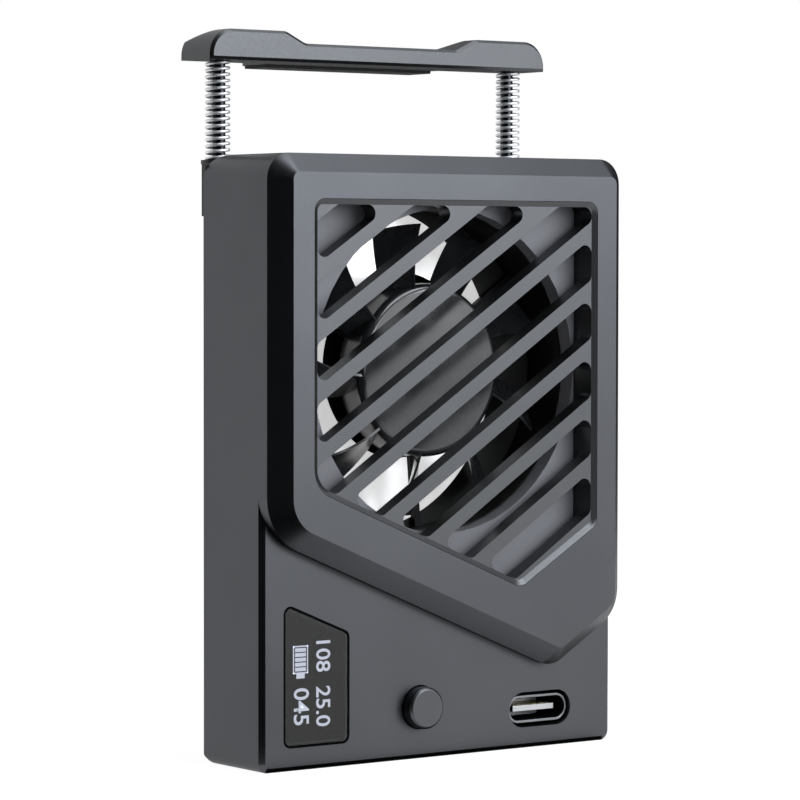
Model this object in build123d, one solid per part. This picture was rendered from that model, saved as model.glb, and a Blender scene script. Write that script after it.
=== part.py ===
from build123d import *
import math
import os

# Clip-on cooling fan for a phone: a housing with a slanted grille, an axial fan, a
# thermoelectric cooling stack at the rear, and a sprung bar that clamps the phone.
# Millimetres. Seen from the grille, X runs to the right and Z up, and Y runs to the
# rear, where the phone lies. The origin is on the rest face, under the middle of the
# whole depth. A depth is counted to the rear from the face of the grille's frame.

# Housing
BODY_W = 51.2
BODY_H = 70.0
SHELL_D = 15.0
REACH = 27.0
WALL = 1.6
TOP_WALL = 3.4
TOP_CORNER_R = 3.0
FOOT_CORNER_R = 1.2
TOP_REAR_R = 1.8
BOTTOM_REAR_BEVEL = 1.0

# Lower panel, set back behind the raised frame
PANEL_DROP = 3.3
PANEL_T = 1.6
PANEL_BEVEL = 0.58

# Raised frame: where its outline leaves the left side, turns at its tip, and meets the
# right side, and the bevel round its face
FRAME_LEFT_DROP = 18.15
FRAME_TIP_X = 15.4
FRAME_TIP_DROP = 35.45
FRAME_RIGHT_DROP = 29.25
FRAME_BEVEL = 2.15
FRAME_LEFT_R = 6.5
FRAME_TIP_R = 3.2
FRAME_RIGHT_R = 5.0

# Window in the frame, and the grille that fills it
WINDOW_HALF_W = 20.55
WINDOW_TOP_MARGIN = 5.15
WINDOW_LEFT_DROP = 12.9
WINDOW_TIP_X = 9.1
WINDOW_TIP_DROP = 25.45
WINDOW_RIGHT_DROP = 18.55
WINDOW_TOP_R = 1.4
WINDOW_LEFT_R = 3.4
WINDOW_TIP_R = 1.9
WINDOW_RIGHT_R = 1.5
GRILLE_D = 3.7
GRILLE_FIT = 0.05
GRILLE_STEP = 0.4
GRILLE_BEVEL_W = 0.62
BAR_ANGLE = 33.0
BAR_PITCH = 5.81
BAR_W = 1.66
BAR_T = 2.1
FIRST_BAR_RISE = 4.55
BAR_COUNT = 8
SLOT_CORNER_R = 1.0

# Shroud plate behind the grille
SHROUD_MARGIN = 1.9
SHROUD_T = 2.1
SHROUD_FIT = 0.1
DUCT_R = 18.95

# Fan
FAN_X = 0.8
FAN_TOP_GAP = 4.95
FAN_SIDE = 40.0
FAN_T = 6.3
FAN_CORNER = 1.8
FAN_SCREW_PITCH = 32.0
FAN_SCREW_BITE = 1.5
FAN_BORE_R = 18.8
HUB_R = 10.2
HUB_SETBACK = 0.9
HUB_DEPTH = 4.3
HUB_WALL = 0.8
HUB_BEVEL = 0.5
MOTOR_SIDES = 24
ROUND_SIDES = 48
BLADE_COUNT = 9
BLADE_TIP_GAP = 1.6
BLADE_T = 0.7
BLADE_DEPTH = 3.7
BLADE_CHORD = 2.6
BLADE_ANGLE = 22.9
BLADE_LEAN = 22.3
MOTOR_BASE_R = 9.8
MOTOR_BASE_T = 0.8
STRUT_W = 0.9
STRUT_ANGLES = (-85.0, 35.0, 155.0)
SHAFT_R = 0.75
SHAFT_CLEARANCE = 0.02
SHAFT_END_PLAY = 0.3
HUB_BOSS_R = 1.6
HUB_BOSS_T = 0.8
BEARING_R = 1.7
BEARING_TUBE_R = 2.3
MAGNET_T = 0.8
AIR_GAP = 0.5
STATOR_ARM_W = 2.2
STATOR_SHOE_W = 6.2
STATOR_SHOE_T = 1.0
FAN_BOARD_T = 0.5

# Cooling stack, from the fins back to the pad that touches the phone
COOL_DROP = 0.05
SINK_W = 36.8
SINK_H = 38.0
SINK_T = 1.5
SINK_POCKET_R = 19.3
FIN_PITCH = 2.9
FIN_T = 0.7
FIN_GAP = 0.1
COOLER_SIDE = 29.0
COOLER_T = 2.7
CERAMIC_T = 0.6
PELLETS_PER_SIDE = 4
PELLET_SIDE = 3.0
COLD_W = 35.0
COLD_H = 37.0
COLD_FLANGE = 0.7
COLD_FLANGE_T = 0.6
COLD_RISE = 0.4
COLD_FIT = 0.15
THERMAL_PAD_W = 27.6
THERMAL_PAD_H = 30.4
THERMAL_PAD_T = 0.5
SENSOR_R = 0.8
SENSOR_T = 0.7

# Rear cover
COVER_D = 6.2
COVER_T = 1.2
COVER_SIDE_INSET = 0.2
COVER_SLOPE = 0.66
COVER_FOOT_Z = 1.2
COVER_TOP_GAP = 1.0
COVER_CAVITY_HALF_W = 18.6
EXHAUST_W = 2.6
EXHAUST_PITCH = 4.4
EXHAUST_COUNT = 9
EXHAUST_NEAR = 6.6
EXHAUST_FAR = 13.2

# Clamp: bar, rods, springs and jaws
BAR_HALF_W = 24.5
BAR_D = 6.3
BAR_REST_GAP = 12.0
BAR_HORN_H = 3.55
BAR_MIDDLE_H = 2.2
HORN_INNER_X = 13.9
HORN_FOOT_X = 11.1
HORN_R = 3.0
HORN_BLEND_R = 1.6
BAR_EDGE = 0.35
BAR_REAR_BEVEL_D = 3.8
BAR_REAR_BEVEL_H = 1.4
HOOK_HALF_W = 12.8
HOOK_CORNER_R = 1.5
JAW_T = 4.6
JAW_PAD_T = 0.8
JAW_PAD_PROUD = 0.35
JAW_PAD_MARGIN = 0.6
ROD_X = 21.2
ROD_SETBACK = 3.4
ROD_R = 0.75
ROD_IN_BAR = 2.0
PULL_UP = 6.0
PUSH_DOWN = 5.2
TRAVEL_SPARE = 0.3
BUSH_SIDE = 2.9
BUSH_H = 6.0
BUSH_FLANGE_R = 2.1
BUSH_FLANGE_T = 0.5
BUSH_CLEARANCE = 0.03
STOP_RING_R = 1.25
STOP_RING_T = 0.8
STOP_RING_CLEARANCE = 0.1
ROD_TAIL = 0.8
RING_SIDES = 12
SPRING_X = 21.55
SPRING_MEAN_R = 1.475
SPRING_WIRE = 0.35
SPRING_TURNS = 13
SPRING_BEND_R = 0.4
SPRING_SIDES = 4

# Controls and electronics behind the lower panel
BUTTON_X = -3.3
BUTTON_Z = 6.05
BUTTON_R = 2.45
BUTTON_PROUD = 1.6
BUTTON_GAP = 0.15
BUTTON_EDGE = 0.3
BUTTON_FLANGE_R = 3.1
BUTTON_FLANGE_T = 0.6
BUTTON_FLANGE_GAP = 0.1
BUTTON_STEM_R = 1.1
BUTTON_TRAVEL = 0.5
SWITCH_SIDE = 4.5
SWITCH_T = 2.0
PLUNGER_R = 0.9
PLUNGER_L = 1.3
PLUNGER_GAP = 0.1
USB_INSET = 11.0
USB_Z = 4.6
USB_CUT_W = 9.3
USB_CUT_H = 4.2
USB_SHELL_W = 8.94
USB_SHELL_H = 3.26
USB_SHELL_T = 0.3
USB_SETBACK = 0.5
USB_TONGUE_W = 6.2
USB_TONGUE_T = 0.7
USB_TONGUE_SETBACK = 0.8
USB_BASE_T = 1.2
DISPLAY_INSET = 3.1
DISPLAY_W = 9.1
DISPLAY_FOOT_Z = 2.7
DISPLAY_FRAME_GAP = 7.7
DISPLAY_TOP_SLOPE = 3.8
DISPLAY_R = 0.9
DISPLAY_FIT = 0.05
DISPLAY_SETBACK = 0.05
DISPLAY_LENS_T = 0.9
DISPLAY_MODULE_INSET = 0.5
DISPLAY_MODULE_T = 1.5
BOARD_D = 9.0
BOARD_T = 1.0
BOARD_W = 40.0
BOARD_FOOT_Z = 2.4
BOARD_FAN_GAP = 2.55
BATTERY_W = 38.0
BATTERY_FOOT_Z = 5.6
BATTERY_BOARD_STEP = 1.3
BATTERY_T = 5.0
BATTERY_BEVEL = 1.2
BATTERY_GAP = 1.1

# Screws: two sizes, each given by its shank, its head and the head's height. They and their
# holes have few sides, with the radius to the corners.
SCREW_SIDES = 8
SCREW_SHANK_R = 0.8
SCREW_HEAD_R = 1.4
SCREW_HEAD_H = 0.9
BAR_SCREW_SHANK_R = 0.4
BAR_SCREW_HEAD_R = 1.1
BAR_SCREW_HEAD_H = 0.7
BAR_SCREW_BITE = 2.0
BAR_SCREW_SINK = 0.05
HEAD_CLEARANCE = 0.1
SCREW_TIP_GAP = 0.4
POST_R = 1.65
TOP_POST_X = 14.0
TOP_POST_DROP = 3.25
LOW_POST_INSET = 3.3
LOW_POST_Z = 4.0
LOW_POST_NEAR = 9.0
POST_BITE = 4.0
COVER_SCREW_SINK = 0.5
JAW_SCREW_X = 8.0
JAW_SCREW_BITE = 3.2
JAW_SCREW_SINK = 0.05
BOARD_POST_R = 1.5
HIGH_BOARD_POST_X = -8.5
HIGH_BOARD_POST_DROP = 4.0
LOW_BOARD_POST_X = 3.5
LOW_BOARD_POST_Z = 4.8
CUT = 1.0

# Places that follow the housing's height and width
WINDOW_TOP_Z = BODY_H - WINDOW_TOP_MARGIN
FIRST_BAR_Z = WINDOW_TOP_Z + FIRST_BAR_RISE
FAN_Z = BODY_H - FAN_TOP_GAP - FAN_SIDE / 2
FRAME_LEFT_Z = FAN_Z - FRAME_LEFT_DROP
FRAME_TIP_Z = FAN_Z - FRAME_TIP_DROP
FRAME_RIGHT_Z = FAN_Z - FRAME_RIGHT_DROP
WINDOW_LEFT_Z = FAN_Z - WINDOW_LEFT_DROP
WINDOW_TIP_Z = FAN_Z - WINDOW_TIP_DROP
WINDOW_RIGHT_Z = FAN_Z - WINDOW_RIGHT_DROP
COOL_Z = FAN_Z - COOL_DROP
TOP_POST_Z = BODY_H - TOP_POST_DROP
COVER_TOP_Z = BODY_H - COVER_TOP_GAP
BAR_REST_Z = COVER_TOP_Z + BAR_REST_GAP
BOARD_TOP_Z = FAN_Z - FAN_SIDE / 2 - BOARD_FAN_GAP
BATTERY_TOP_Z = BOARD_TOP_Z - BATTERY_BOARD_STEP
LOW_POST_X = BODY_W / 2 - LOW_POST_INSET
USB_X = BODY_W / 2 - USB_INSET
DISPLAY_LEFT_X = DISPLAY_INSET - BODY_W / 2
DISPLAY_RIGHT_X = DISPLAY_LEFT_X + DISPLAY_W
DISPLAY_LEFT_TOP_Z = FRAME_LEFT_Z - DISPLAY_FRAME_GAP
DISPLAY_RIGHT_TOP_Z = DISPLAY_LEFT_TOP_Z - DISPLAY_TOP_SLOPE
BOARD_POSTS = ((HIGH_BOARD_POST_X, BOARD_TOP_Z - HIGH_BOARD_POST_DROP), (LOW_BOARD_POST_X, LOW_BOARD_POST_Z))

# Depths worked out from the stack above
FACE_Y = -REACH / 2
SHROUD_D = GRILLE_D
FAN_D = SHROUD_D + SHROUD_T
FAN_REAR = FAN_D + FAN_T
COVER_BACK = SHELL_D + COVER_D
COLD_FLANGE_D = COVER_BACK - COVER_T - COLD_FLANGE_T
COOLER_D = COLD_FLANGE_D - COOLER_T
SINK_D = COOLER_D - SINK_T
COLD_FACE = COVER_BACK + COLD_RISE
HUB_D = FAN_D + HUB_SETBACK
CUP_R = HUB_R - HUB_WALL
BLADE_D = HUB_D + 0.2
MOTOR_BASE_D = FAN_REAR - MOTOR_BASE_T
BEARING_D = HUB_D + HUB_WALL + HUB_BOSS_T + SHAFT_END_PLAY
BEARING_REAR = MOTOR_BASE_D + MOTOR_BASE_T / 2
BLADE_TIP_R = FAN_BORE_R - BLADE_TIP_GAP
PANEL_BACK = PANEL_DROP + PANEL_T
ROD_D = SHELL_D + ROD_SETBACK
PLUNGER_D = BOARD_D - SWITCH_T - PLUNGER_L / 2
SPRING_SEAT_Z = COVER_TOP_Z + BUSH_FLANGE_T
BUSH_FOOT_Z = COVER_TOP_Z - BUSH_H
ROD_TOP_Z = BAR_REST_Z + ROD_IN_BAR
ROD_SOCKET_R = ROD_R / math.cos(math.pi / SCREW_SIDES)
STOP_RING_TOP_Z = BUSH_FOOT_Z - PULL_UP - TRAVEL_SPARE
ROD_FOOT_Z = STOP_RING_TOP_Z - STOP_RING_T - ROD_TAIL
RING_BORE_FOOT_Z = ROD_FOOT_Z - PUSH_DOWN - TRAVEL_SPARE
RING_BORE_SIDE = 2 * (STOP_RING_R + STOP_RING_CLEARANCE)


def upright(depth):
    """Plane facing the viewer at a depth: sketches on it are drawn in X and Z."""
    return Plane(origin=(0, FACE_Y + depth, 0), x_dir=(1, 0, 0), z_dir=(0, -1, 0))


def slab(sketch, near, far):
    """A sketch drawn in X and Z, made solid from one depth to another."""
    return extrude(upright(far) * sketch, amount=far - near)


def disc(x, z, radius, near, far):
    """Round solid along Y."""
    return slab(Pos(x, z) * Circle(radius), near, far)


def column(x, depth, radius, low, high):
    """Round solid along Z."""
    return extrude(Pos(x, FACE_Y + depth, low) * Circle(radius), amount=high - low)


def prism(x, z, radius, near, far, sides=SCREW_SIDES):
    """Many-sided solid along Y, for screws, their holes and small hidden pieces."""
    return slab(Pos(x, z) * RegularPolygon(radius, sides), near, far)


def upright_prism(x, depth, radius, low, high, sides=SCREW_SIDES):
    """Many-sided solid along Z."""
    return extrude(Pos(x, FACE_Y + depth, low) * RegularPolygon(radius, sides), amount=high - low)


def square_post(x, depth, side, low, high):
    """Square solid along Z."""
    return extrude(Pos(x, FACE_Y + depth, low) * Rectangle(side, side), amount=high - low)


def block(x_span, depth_span, z_span):
    """Box given by its limits across, in depth and in height."""
    (x0, x1), (near, far), (z0, z1) = x_span, depth_span, z_span
    return slab(Pos((x0 + x1) / 2, (z0 + z1) / 2) * Rectangle(x1 - x0, z1 - z0), near, far)


def rounded(corners):
    """Closed face through corners given as (x, z, radius)."""
    points = [(x, z) for x, z, _ in corners]
    radii = [radius for _, _, radius in corners]
    return make_face(FilletPolyline(*points, radius=radii, close=True))


def stadium(x, z, width, height):
    """Slot shape with round ends, long side along X."""
    return Pos(x, z) * SlotOverall(width, height)


def along_z(profile, low, high):
    """A face drawn in X and Y, made solid between two heights."""
    return extrude(Pos(0, 0, low) * profile, amount=high - low)


def across(profile):
    """A face drawn in Y and Z, made solid across the whole width."""
    return extrude(Plane.YZ * profile, amount=BODY_W, both=True)


def rear_top_corner():
    """What the rounding takes from the top rear edge, in Y and Z."""
    y, z = FACE_Y + SHELL_D - TOP_REAR_R, BODY_H - TOP_REAR_R
    square = Pos(y + TOP_REAR_R, z + TOP_REAR_R) * Rectangle(2 * TOP_REAR_R, 2 * TOP_REAR_R)
    return square - Pos(y, z) * Circle(TOP_REAR_R)


def rear_foot_corner():
    """What the bevel takes from the bottom rear edge, in Y and Z."""
    y = FACE_Y + SHELL_D
    bevel = BOTTOM_REAR_BEVEL
    points = [(y - bevel, 0), (y, bevel), (y + CUT, bevel), (y + CUT, -CUT), (y - bevel, -CUT)]
    return make_face(Polyline(*points, close=True))


def body_outline():
    """Front view of the whole housing."""
    half = BODY_W / 2
    return rounded([(-half, 0, FOOT_CORNER_R), (half, 0, FOOT_CORNER_R),
                    (half, BODY_H, TOP_CORNER_R), (-half, BODY_H, TOP_CORNER_R)])


def cavity_outline():
    """Front view of the housing's inside: its top wall is thicker, for the rounded rear edge."""
    inside = offset(body_outline(), amount=-WALL)
    return inside & Pos(0, BODY_H / 2 - TOP_WALL) * Rectangle(BODY_W, BODY_H)


def frame_outline():
    """Foot of the raised frame: flush with the housing above, and slanted to a tip below."""
    half = BODY_W / 2
    return rounded([(-half, BODY_H, TOP_CORNER_R), (-half, FRAME_LEFT_Z, FRAME_LEFT_R),
                    (FRAME_TIP_X, FRAME_TIP_Z, FRAME_TIP_R), (half, FRAME_RIGHT_Z, FRAME_RIGHT_R),
                    (half, BODY_H, TOP_CORNER_R)])


def window_corners():
    """Corners of the window before rounding, with the radius that rounds each."""
    half = WINDOW_HALF_W
    return [(-half, WINDOW_TOP_Z, WINDOW_TOP_R), (-half, WINDOW_LEFT_Z, WINDOW_LEFT_R),
            (WINDOW_TIP_X, WINDOW_TIP_Z, WINDOW_TIP_R), (half, WINDOW_RIGHT_Z, WINDOW_RIGHT_R),
            (half, WINDOW_TOP_Z, WINDOW_TOP_R)]


def window_outline():
    """Opening of the frame that the grille fills."""
    return rounded(window_corners())


def shroud_outline(margin=SHROUD_MARGIN):
    """The shroud plate overlaps the window all round, and has sharp corners."""
    points = [(x, z) for x, z, _ in window_corners()]
    return offset(make_face(Polyline(*points, close=True)), amount=margin, kind=Kind.INTERSECTION)


def display_outline(radius=DISPLAY_R):
    """Display window: its top edge runs parallel to the frame above it."""
    left, right = DISPLAY_LEFT_X, DISPLAY_RIGHT_X
    return rounded([(left, DISPLAY_FOOT_Z, radius), (right, DISPLAY_FOOT_Z, radius),
                    (right, DISPLAY_RIGHT_TOP_Z, radius), (left, DISPLAY_LEFT_TOP_Z, radius)])


def fan_places():
    """Centres of the fan's four screws."""
    half = FAN_SCREW_PITCH / 2
    return [(FAN_X + sx * half, FAN_Z + sz * half) for sx in (-1, 1) for sz in (-1, 1)]


def cold_plate_places():
    """Centres of the four screws through the cold plate, beside the thermal pad."""
    across = COLD_W / 2 - SCREW_HEAD_R - 0.2
    up = COLD_H / 2 - SCREW_HEAD_R - 0.2
    return [(sx * across, COOL_Z + sz * up) for sx in (-1, 1) for sz in (-1, 1)]


def screw(x, z, head_depth, tip_depth):
    """Flat-headed screw along Y, its head at the rear and its tip towards the front."""
    head = prism(x, z, SCREW_HEAD_R, head_depth - SCREW_HEAD_H, head_depth)
    return head + prism(x, z, SCREW_SHANK_R, tip_depth, head_depth - SCREW_HEAD_H)


def screw_hole(x, z, seat_depth, near, far):
    """Space of a screw that comes from the rear: its shank from near on, and its head behind the seat."""
    hole = prism(x, z, SCREW_SHANK_R + HEAD_CLEARANCE, near, far)
    return hole + prism(x, z, SCREW_HEAD_R + HEAD_CLEARANCE, seat_depth, far)


def cover_screw_places():
    """The cover's screws: x, z, and the depth of each head's rear face."""
    top = [(sx * TOP_POST_X, TOP_POST_Z, COVER_BACK - COVER_SCREW_SINK) for sx in (-1, 1)]
    low = [(sx * LOW_POST_X, LOW_POST_Z, SHELL_D + COVER_T + SCREW_HEAD_H) for sx in (-1, 1)]
    return top + low


def make_front_shell():
    """Front shell: lower panel, raised frame, sides, screw posts and exhaust slots."""
    lower = slab(body_outline(), PANEL_DROP, SHELL_D)
    lower = chamfer(lower.faces().sort_by(Axis.Y)[0].edges(), PANEL_BEVEL)
    frame = slab(frame_outline(), 0, PANEL_DROP + PANEL_BEVEL)
    frame = chamfer(frame.faces().sort_by(Axis.Y)[0].edges(), FRAME_BEVEL)
    shell = lower + frame
    shell -= across(rear_top_corner())
    shell -= across(rear_foot_corner())
    shell -= slab(cavity_outline(), PANEL_BACK, SHELL_D + CUT)
    shell -= slab(shroud_outline(SHROUD_MARGIN + SHROUD_FIT), SHROUD_D, PANEL_BACK + CUT)
    shell -= slab(offset(window_outline(), amount=GRILLE_FIT), -CUT, SHROUD_D + CUT)
    shell -= slab(offset(display_outline(), amount=DISPLAY_FIT), PANEL_DROP - CUT, PANEL_BACK + CUT)
    shell -= disc(BUTTON_X, BUTTON_Z, BUTTON_R + BUTTON_GAP, -CUT, PANEL_BACK + CUT)
    shell -= slab(stadium(USB_X, USB_Z, USB_CUT_W, USB_CUT_H), -CUT, PANEL_BACK + CUT)
    for slot in exhaust_slots():
        shell -= slot
    inner = slab(offset(body_outline(), amount=-WALL / 2), PANEL_DROP, SHELL_D)
    for sx in (-1, 1):
        x = sx * TOP_POST_X
        shell += block((x - POST_R, x + POST_R), (FAN_D + SHROUD_FIT, SHELL_D),
                       (TOP_POST_Z - POST_R, BODY_H - TOP_WALL / 2))
        x_span = sorted((sx * (LOW_POST_X - POST_R), sx * BODY_W / 2))
        shell += inner & block(x_span, (LOW_POST_NEAR, SHELL_D), (0, LOW_POST_Z + POST_R))
    for x, z in BOARD_POSTS:
        shell += prism(x, z, BOARD_POST_R, PANEL_BACK - PANEL_T / 2, BOARD_D)
        shell -= prism(x, z, SCREW_SHANK_R, BOARD_D - POST_BITE, BOARD_D + CUT)
    for x, z, _ in cover_screw_places():
        shell -= prism(x, z, SCREW_SHANK_R, SHELL_D - POST_BITE, SHELL_D + CUT)
    return shell


def exhaust_slots():
    """The slots through the top wall that let the warm air out, with none at the screw posts."""
    slots = []
    for i in range(EXHAUST_COUNT):
        x = (i - (EXHAUST_COUNT - 1) / 2) * EXHAUST_PITCH
        if abs(abs(x) - TOP_POST_X) >= POST_R + EXHAUST_W / 2:
            slots.append(block((x - EXHAUST_W / 2, x + EXHAUST_W / 2), (EXHAUST_NEAR, EXHAUST_FAR),
                               (BODY_H - TOP_WALL - CUT, BODY_H + CUT)))
    return slots


def make_grille():
    """Grille: a rim as deep as the frame's window, with slanted bars and round-cornered slots."""
    rim = window_outline()
    floor = offset(rim, amount=-GRILLE_BEVEL_W)
    grille = slab(rim, 0, GRILLE_D)
    grille -= slab(floor, GRILLE_STEP + BAR_T, GRILLE_D + CUT)
    grille -= loft([upright(0) * rim, upright(GRILLE_STEP) * floor], ruled=True)
    for slot in grille_slots(floor):
        grille -= slab(slot, GRILLE_STEP - CUT / 2, GRILLE_STEP + BAR_T + CUT / 2)
    return grille


def grille_slots(floor):
    """The openings between the bars that cross the window, cut off by its rim, with every corner rounded."""
    slot_w = BAR_PITCH - BAR_W
    length = 2 * (WINDOW_HALF_W + WINDOW_TOP_Z)
    step_z = BAR_PITCH / math.cos(math.radians(BAR_ANGLE))
    slots = []
    for i in range(BAR_COUNT + 1):
        z = FIRST_BAR_Z + (0.5 - i) * step_z
        strip = Pos(0, z) * Rot(0, 0, BAR_ANGLE) * Rectangle(length, slot_w)
        piece = strip & floor
        if piece and piece.area > slot_w**2:
            smaller = offset(piece, amount=-SLOT_CORNER_R)
            slots.append(offset(smaller, amount=SLOT_CORNER_R))
    return slots


def make_fan_shroud():
    """Plate behind the grille with the round duct opening, drilled from the rear for the fan's screws."""
    plate = slab(shroud_outline(), SHROUD_D, FAN_D)
    plate -= prism(FAN_X, FAN_Z, DUCT_R, SHROUD_D - CUT, FAN_D + CUT, ROUND_SIDES)
    for x, z in fan_places():
        plate -= prism(x, z, SCREW_SHANK_R, FAN_D - FAN_SCREW_BITE, FAN_D + CUT)
    return plate


def make_fan_frame():
    """Square fan frame with a round bore, motor base, struts and bearing tube."""
    half = FAN_SIDE / 2
    frame = block((FAN_X - half, FAN_X + half), (FAN_D, FAN_REAR), (FAN_Z - half, FAN_Z + half))
    frame = chamfer(frame.edges().filter_by(Axis.Y), FAN_CORNER)
    frame -= prism(FAN_X, FAN_Z, FAN_BORE_R, FAN_D - CUT, FAN_REAR + CUT, ROUND_SIDES)
    for x, z in fan_places():
        frame -= screw_hole(x, z, FAN_REAR - SCREW_HEAD_H, FAN_D - CUT, FAN_REAR + CUT)
    base = prism(FAN_X, FAN_Z, MOTOR_BASE_R, MOTOR_BASE_D, FAN_REAR, MOTOR_SIDES)
    for angle in STRUT_ANGLES:
        reach = FAN_BORE_R + 0.5
        arm = Pos(FAN_X, FAN_Z) * Rot(0, 0, angle) * Pos(reach / 2, 0) * Rectangle(reach, STRUT_W)
        base += slab(arm, MOTOR_BASE_D, FAN_REAR)
    base += prism(FAN_X, FAN_Z, BEARING_TUBE_R, BEARING_D, FAN_REAR)
    base -= prism(FAN_X, FAN_Z, BEARING_R, BEARING_D - CUT, BEARING_REAR)
    return frame + base


def make_bearing():
    """Sleeve bearing in the fan frame's tube."""
    sleeve = prism(FAN_X, FAN_Z, BEARING_R, BEARING_D, BEARING_REAR)
    return sleeve - disc(FAN_X, FAN_Z, SHAFT_R + SHAFT_CLEARANCE, BEARING_D - CUT, BEARING_REAR + CUT)


def make_rotor_shaft():
    """Steel shaft, pressed into the hub and turning in the sleeve bearing."""
    return disc(FAN_X, FAN_Z, SHAFT_R, HUB_D + HUB_WALL / 2, MOTOR_BASE_D)


def blade():
    """First blade, as a long flat plate: pitched with its front edge ahead, and leaning off the radius."""
    angle = math.radians(BLADE_ANGLE)
    centre_r = (HUB_R + BLADE_TIP_R) / 2
    centre = Vector(FAN_X + centre_r * math.cos(angle), FACE_Y + BLADE_D + BLADE_DEPTH / 2,
                    FAN_Z + centre_r * math.sin(angle))
    lean = math.radians(BLADE_ANGLE - BLADE_LEAN)
    along = (math.cos(lean), 0, math.sin(lean))
    around = (-math.sin(lean), 0, math.cos(lean))
    pitch = math.degrees(math.atan2(BLADE_DEPTH, BLADE_CHORD))
    length = math.hypot(BLADE_DEPTH, BLADE_CHORD)
    section = Plane(origin=centre, x_dir=around, z_dir=along) * Rot(0, 0, -pitch) * Rectangle(length, BLADE_T)
    return extrude(section, amount=BLADE_TIP_R, both=True)


def make_fan_rotor():
    """Hub cup with swept blades round it."""
    rear = HUB_D + HUB_DEPTH
    hub = prism(FAN_X, FAN_Z, HUB_R, HUB_D, rear, ROUND_SIDES)
    hub = chamfer(hub.faces().sort_by(Axis.Y)[0].edges(), HUB_BEVEL)
    hub -= prism(FAN_X, FAN_Z, CUP_R, HUB_D + HUB_WALL, rear + CUT, MOTOR_SIDES)
    hub += prism(FAN_X, FAN_Z, HUB_BOSS_R, HUB_D + HUB_WALL, HUB_D + HUB_WALL + HUB_BOSS_T)
    hub -= disc(FAN_X, FAN_Z, SHAFT_R, HUB_D + HUB_WALL / 2, rear)
    one = blade() & slab(blade_sector(), BLADE_D, rear)
    for i in range(BLADE_COUNT):
        hub += one.rotate(Axis((FAN_X, 0, FAN_Z), (0, 1, 0)), i * 360 / BLADE_COUNT)
    return hub


def blade_sector():
    """Ring from inside the hub's wall to the blades' tips, on the first blade's side of the hub."""
    ring = RegularPolygon(BLADE_TIP_R, ROUND_SIDES) - RegularPolygon(HUB_R - HUB_WALL / 2, ROUND_SIDES)
    side = Rot(0, 0, BLADE_ANGLE) * Pos(BLADE_TIP_R / 2, 0) * Rectangle(BLADE_TIP_R, 2 * BLADE_TIP_R)
    return Pos(FAN_X, FAN_Z) * (ring & side)


def make_magnet_ring():
    """Ring magnet inside the hub cup."""
    near, far = HUB_D + HUB_WALL + 0.2, HUB_D + HUB_DEPTH - 0.2
    outer = prism(FAN_X, FAN_Z, CUP_R, near, far, MOTOR_SIDES)
    return outer - prism(FAN_X, FAN_Z, CUP_R - MAGNET_T, near - CUT, far + CUT, MOTOR_SIDES)


def make_stator():
    """Stator core on the bearing tube: a cross whose four arms end in wide pole shoes."""
    near, far = BEARING_D + 0.2, MOTOR_BASE_D - FAN_BOARD_T - 0.2
    pole_r = CUP_R - MAGNET_T - AIR_GAP
    reach = math.sqrt(pole_r ** 2 - (STATOR_SHOE_W / 2) ** 2)
    arm = Rectangle(2 * reach, STATOR_ARM_W)
    shoe = Rectangle(STATOR_SHOE_T, STATOR_SHOE_W)
    shoes = [Pos(sx * (reach - STATOR_SHOE_T / 2), 0) * shoe for sx in (-1, 1)]
    bar = arm + shoes
    middle = RegularPolygon(BEARING_TUBE_R + 0.9, SCREW_SIDES)
    core = bar + Rot(0, 0, 90) * bar + middle - RegularPolygon(BEARING_TUBE_R, SCREW_SIDES)
    return slab(Pos(FAN_X, FAN_Z) * core, near, far)


def make_fan_board():
    """Small circuit board on the motor base, under the stator."""
    near = MOTOR_BASE_D - FAN_BOARD_T
    board = prism(FAN_X, FAN_Z, MOTOR_BASE_R - 1.4, near, MOTOR_BASE_D)
    return board - prism(FAN_X, FAN_Z, BEARING_TUBE_R, near - CUT, MOTOR_BASE_D + CUT)


def make_fan_screws():
    """Four screws that hold the fan to the shroud."""
    return [screw(x, z, FAN_REAR, FAN_D - FAN_SCREW_BITE + SCREW_TIP_GAP) for x, z in fan_places()]


def make_heat_sink():
    """Heat sink: a flat base, and fins that stand only outside the fan's air stream."""
    half_w, half_h = SINK_W / 2, SINK_H / 2
    sink = block((-half_w, half_w), (SINK_D, COOLER_D), (COOL_Z - half_h, COOL_Z + half_h))
    count = int((SINK_W - FIN_T) / FIN_PITCH)
    fins = []
    for i in range(count + 1):
        fins += fin_blocks((i - count / 2) * FIN_PITCH)
    sink += fins
    for x, z in cold_plate_places():
        sink -= prism(x, z, SCREW_SHANK_R, FAN_REAR, COOLER_D + CUT)
    return sink


def fin_blocks(x):
    """One fin, in two lengths above and below the air stream, or in one beside it."""
    low, high = COOL_Z - SINK_H / 2, COOL_Z + SINK_H / 2
    beside = abs(x - FAN_X) - FIN_T / 2
    half_gap = math.sqrt(max(SINK_POCKET_R ** 2 - beside ** 2, 0))
    spans = [(low, FAN_Z - half_gap), (FAN_Z + half_gap, high)] if half_gap > 0 else [(low, high)]
    x_span = (x - FIN_T / 2, x + FIN_T / 2)
    return [block(x_span, (FAN_REAR + FIN_GAP, SINK_D), span) for span in spans if span[1] - span[0] > FIN_T]


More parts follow.
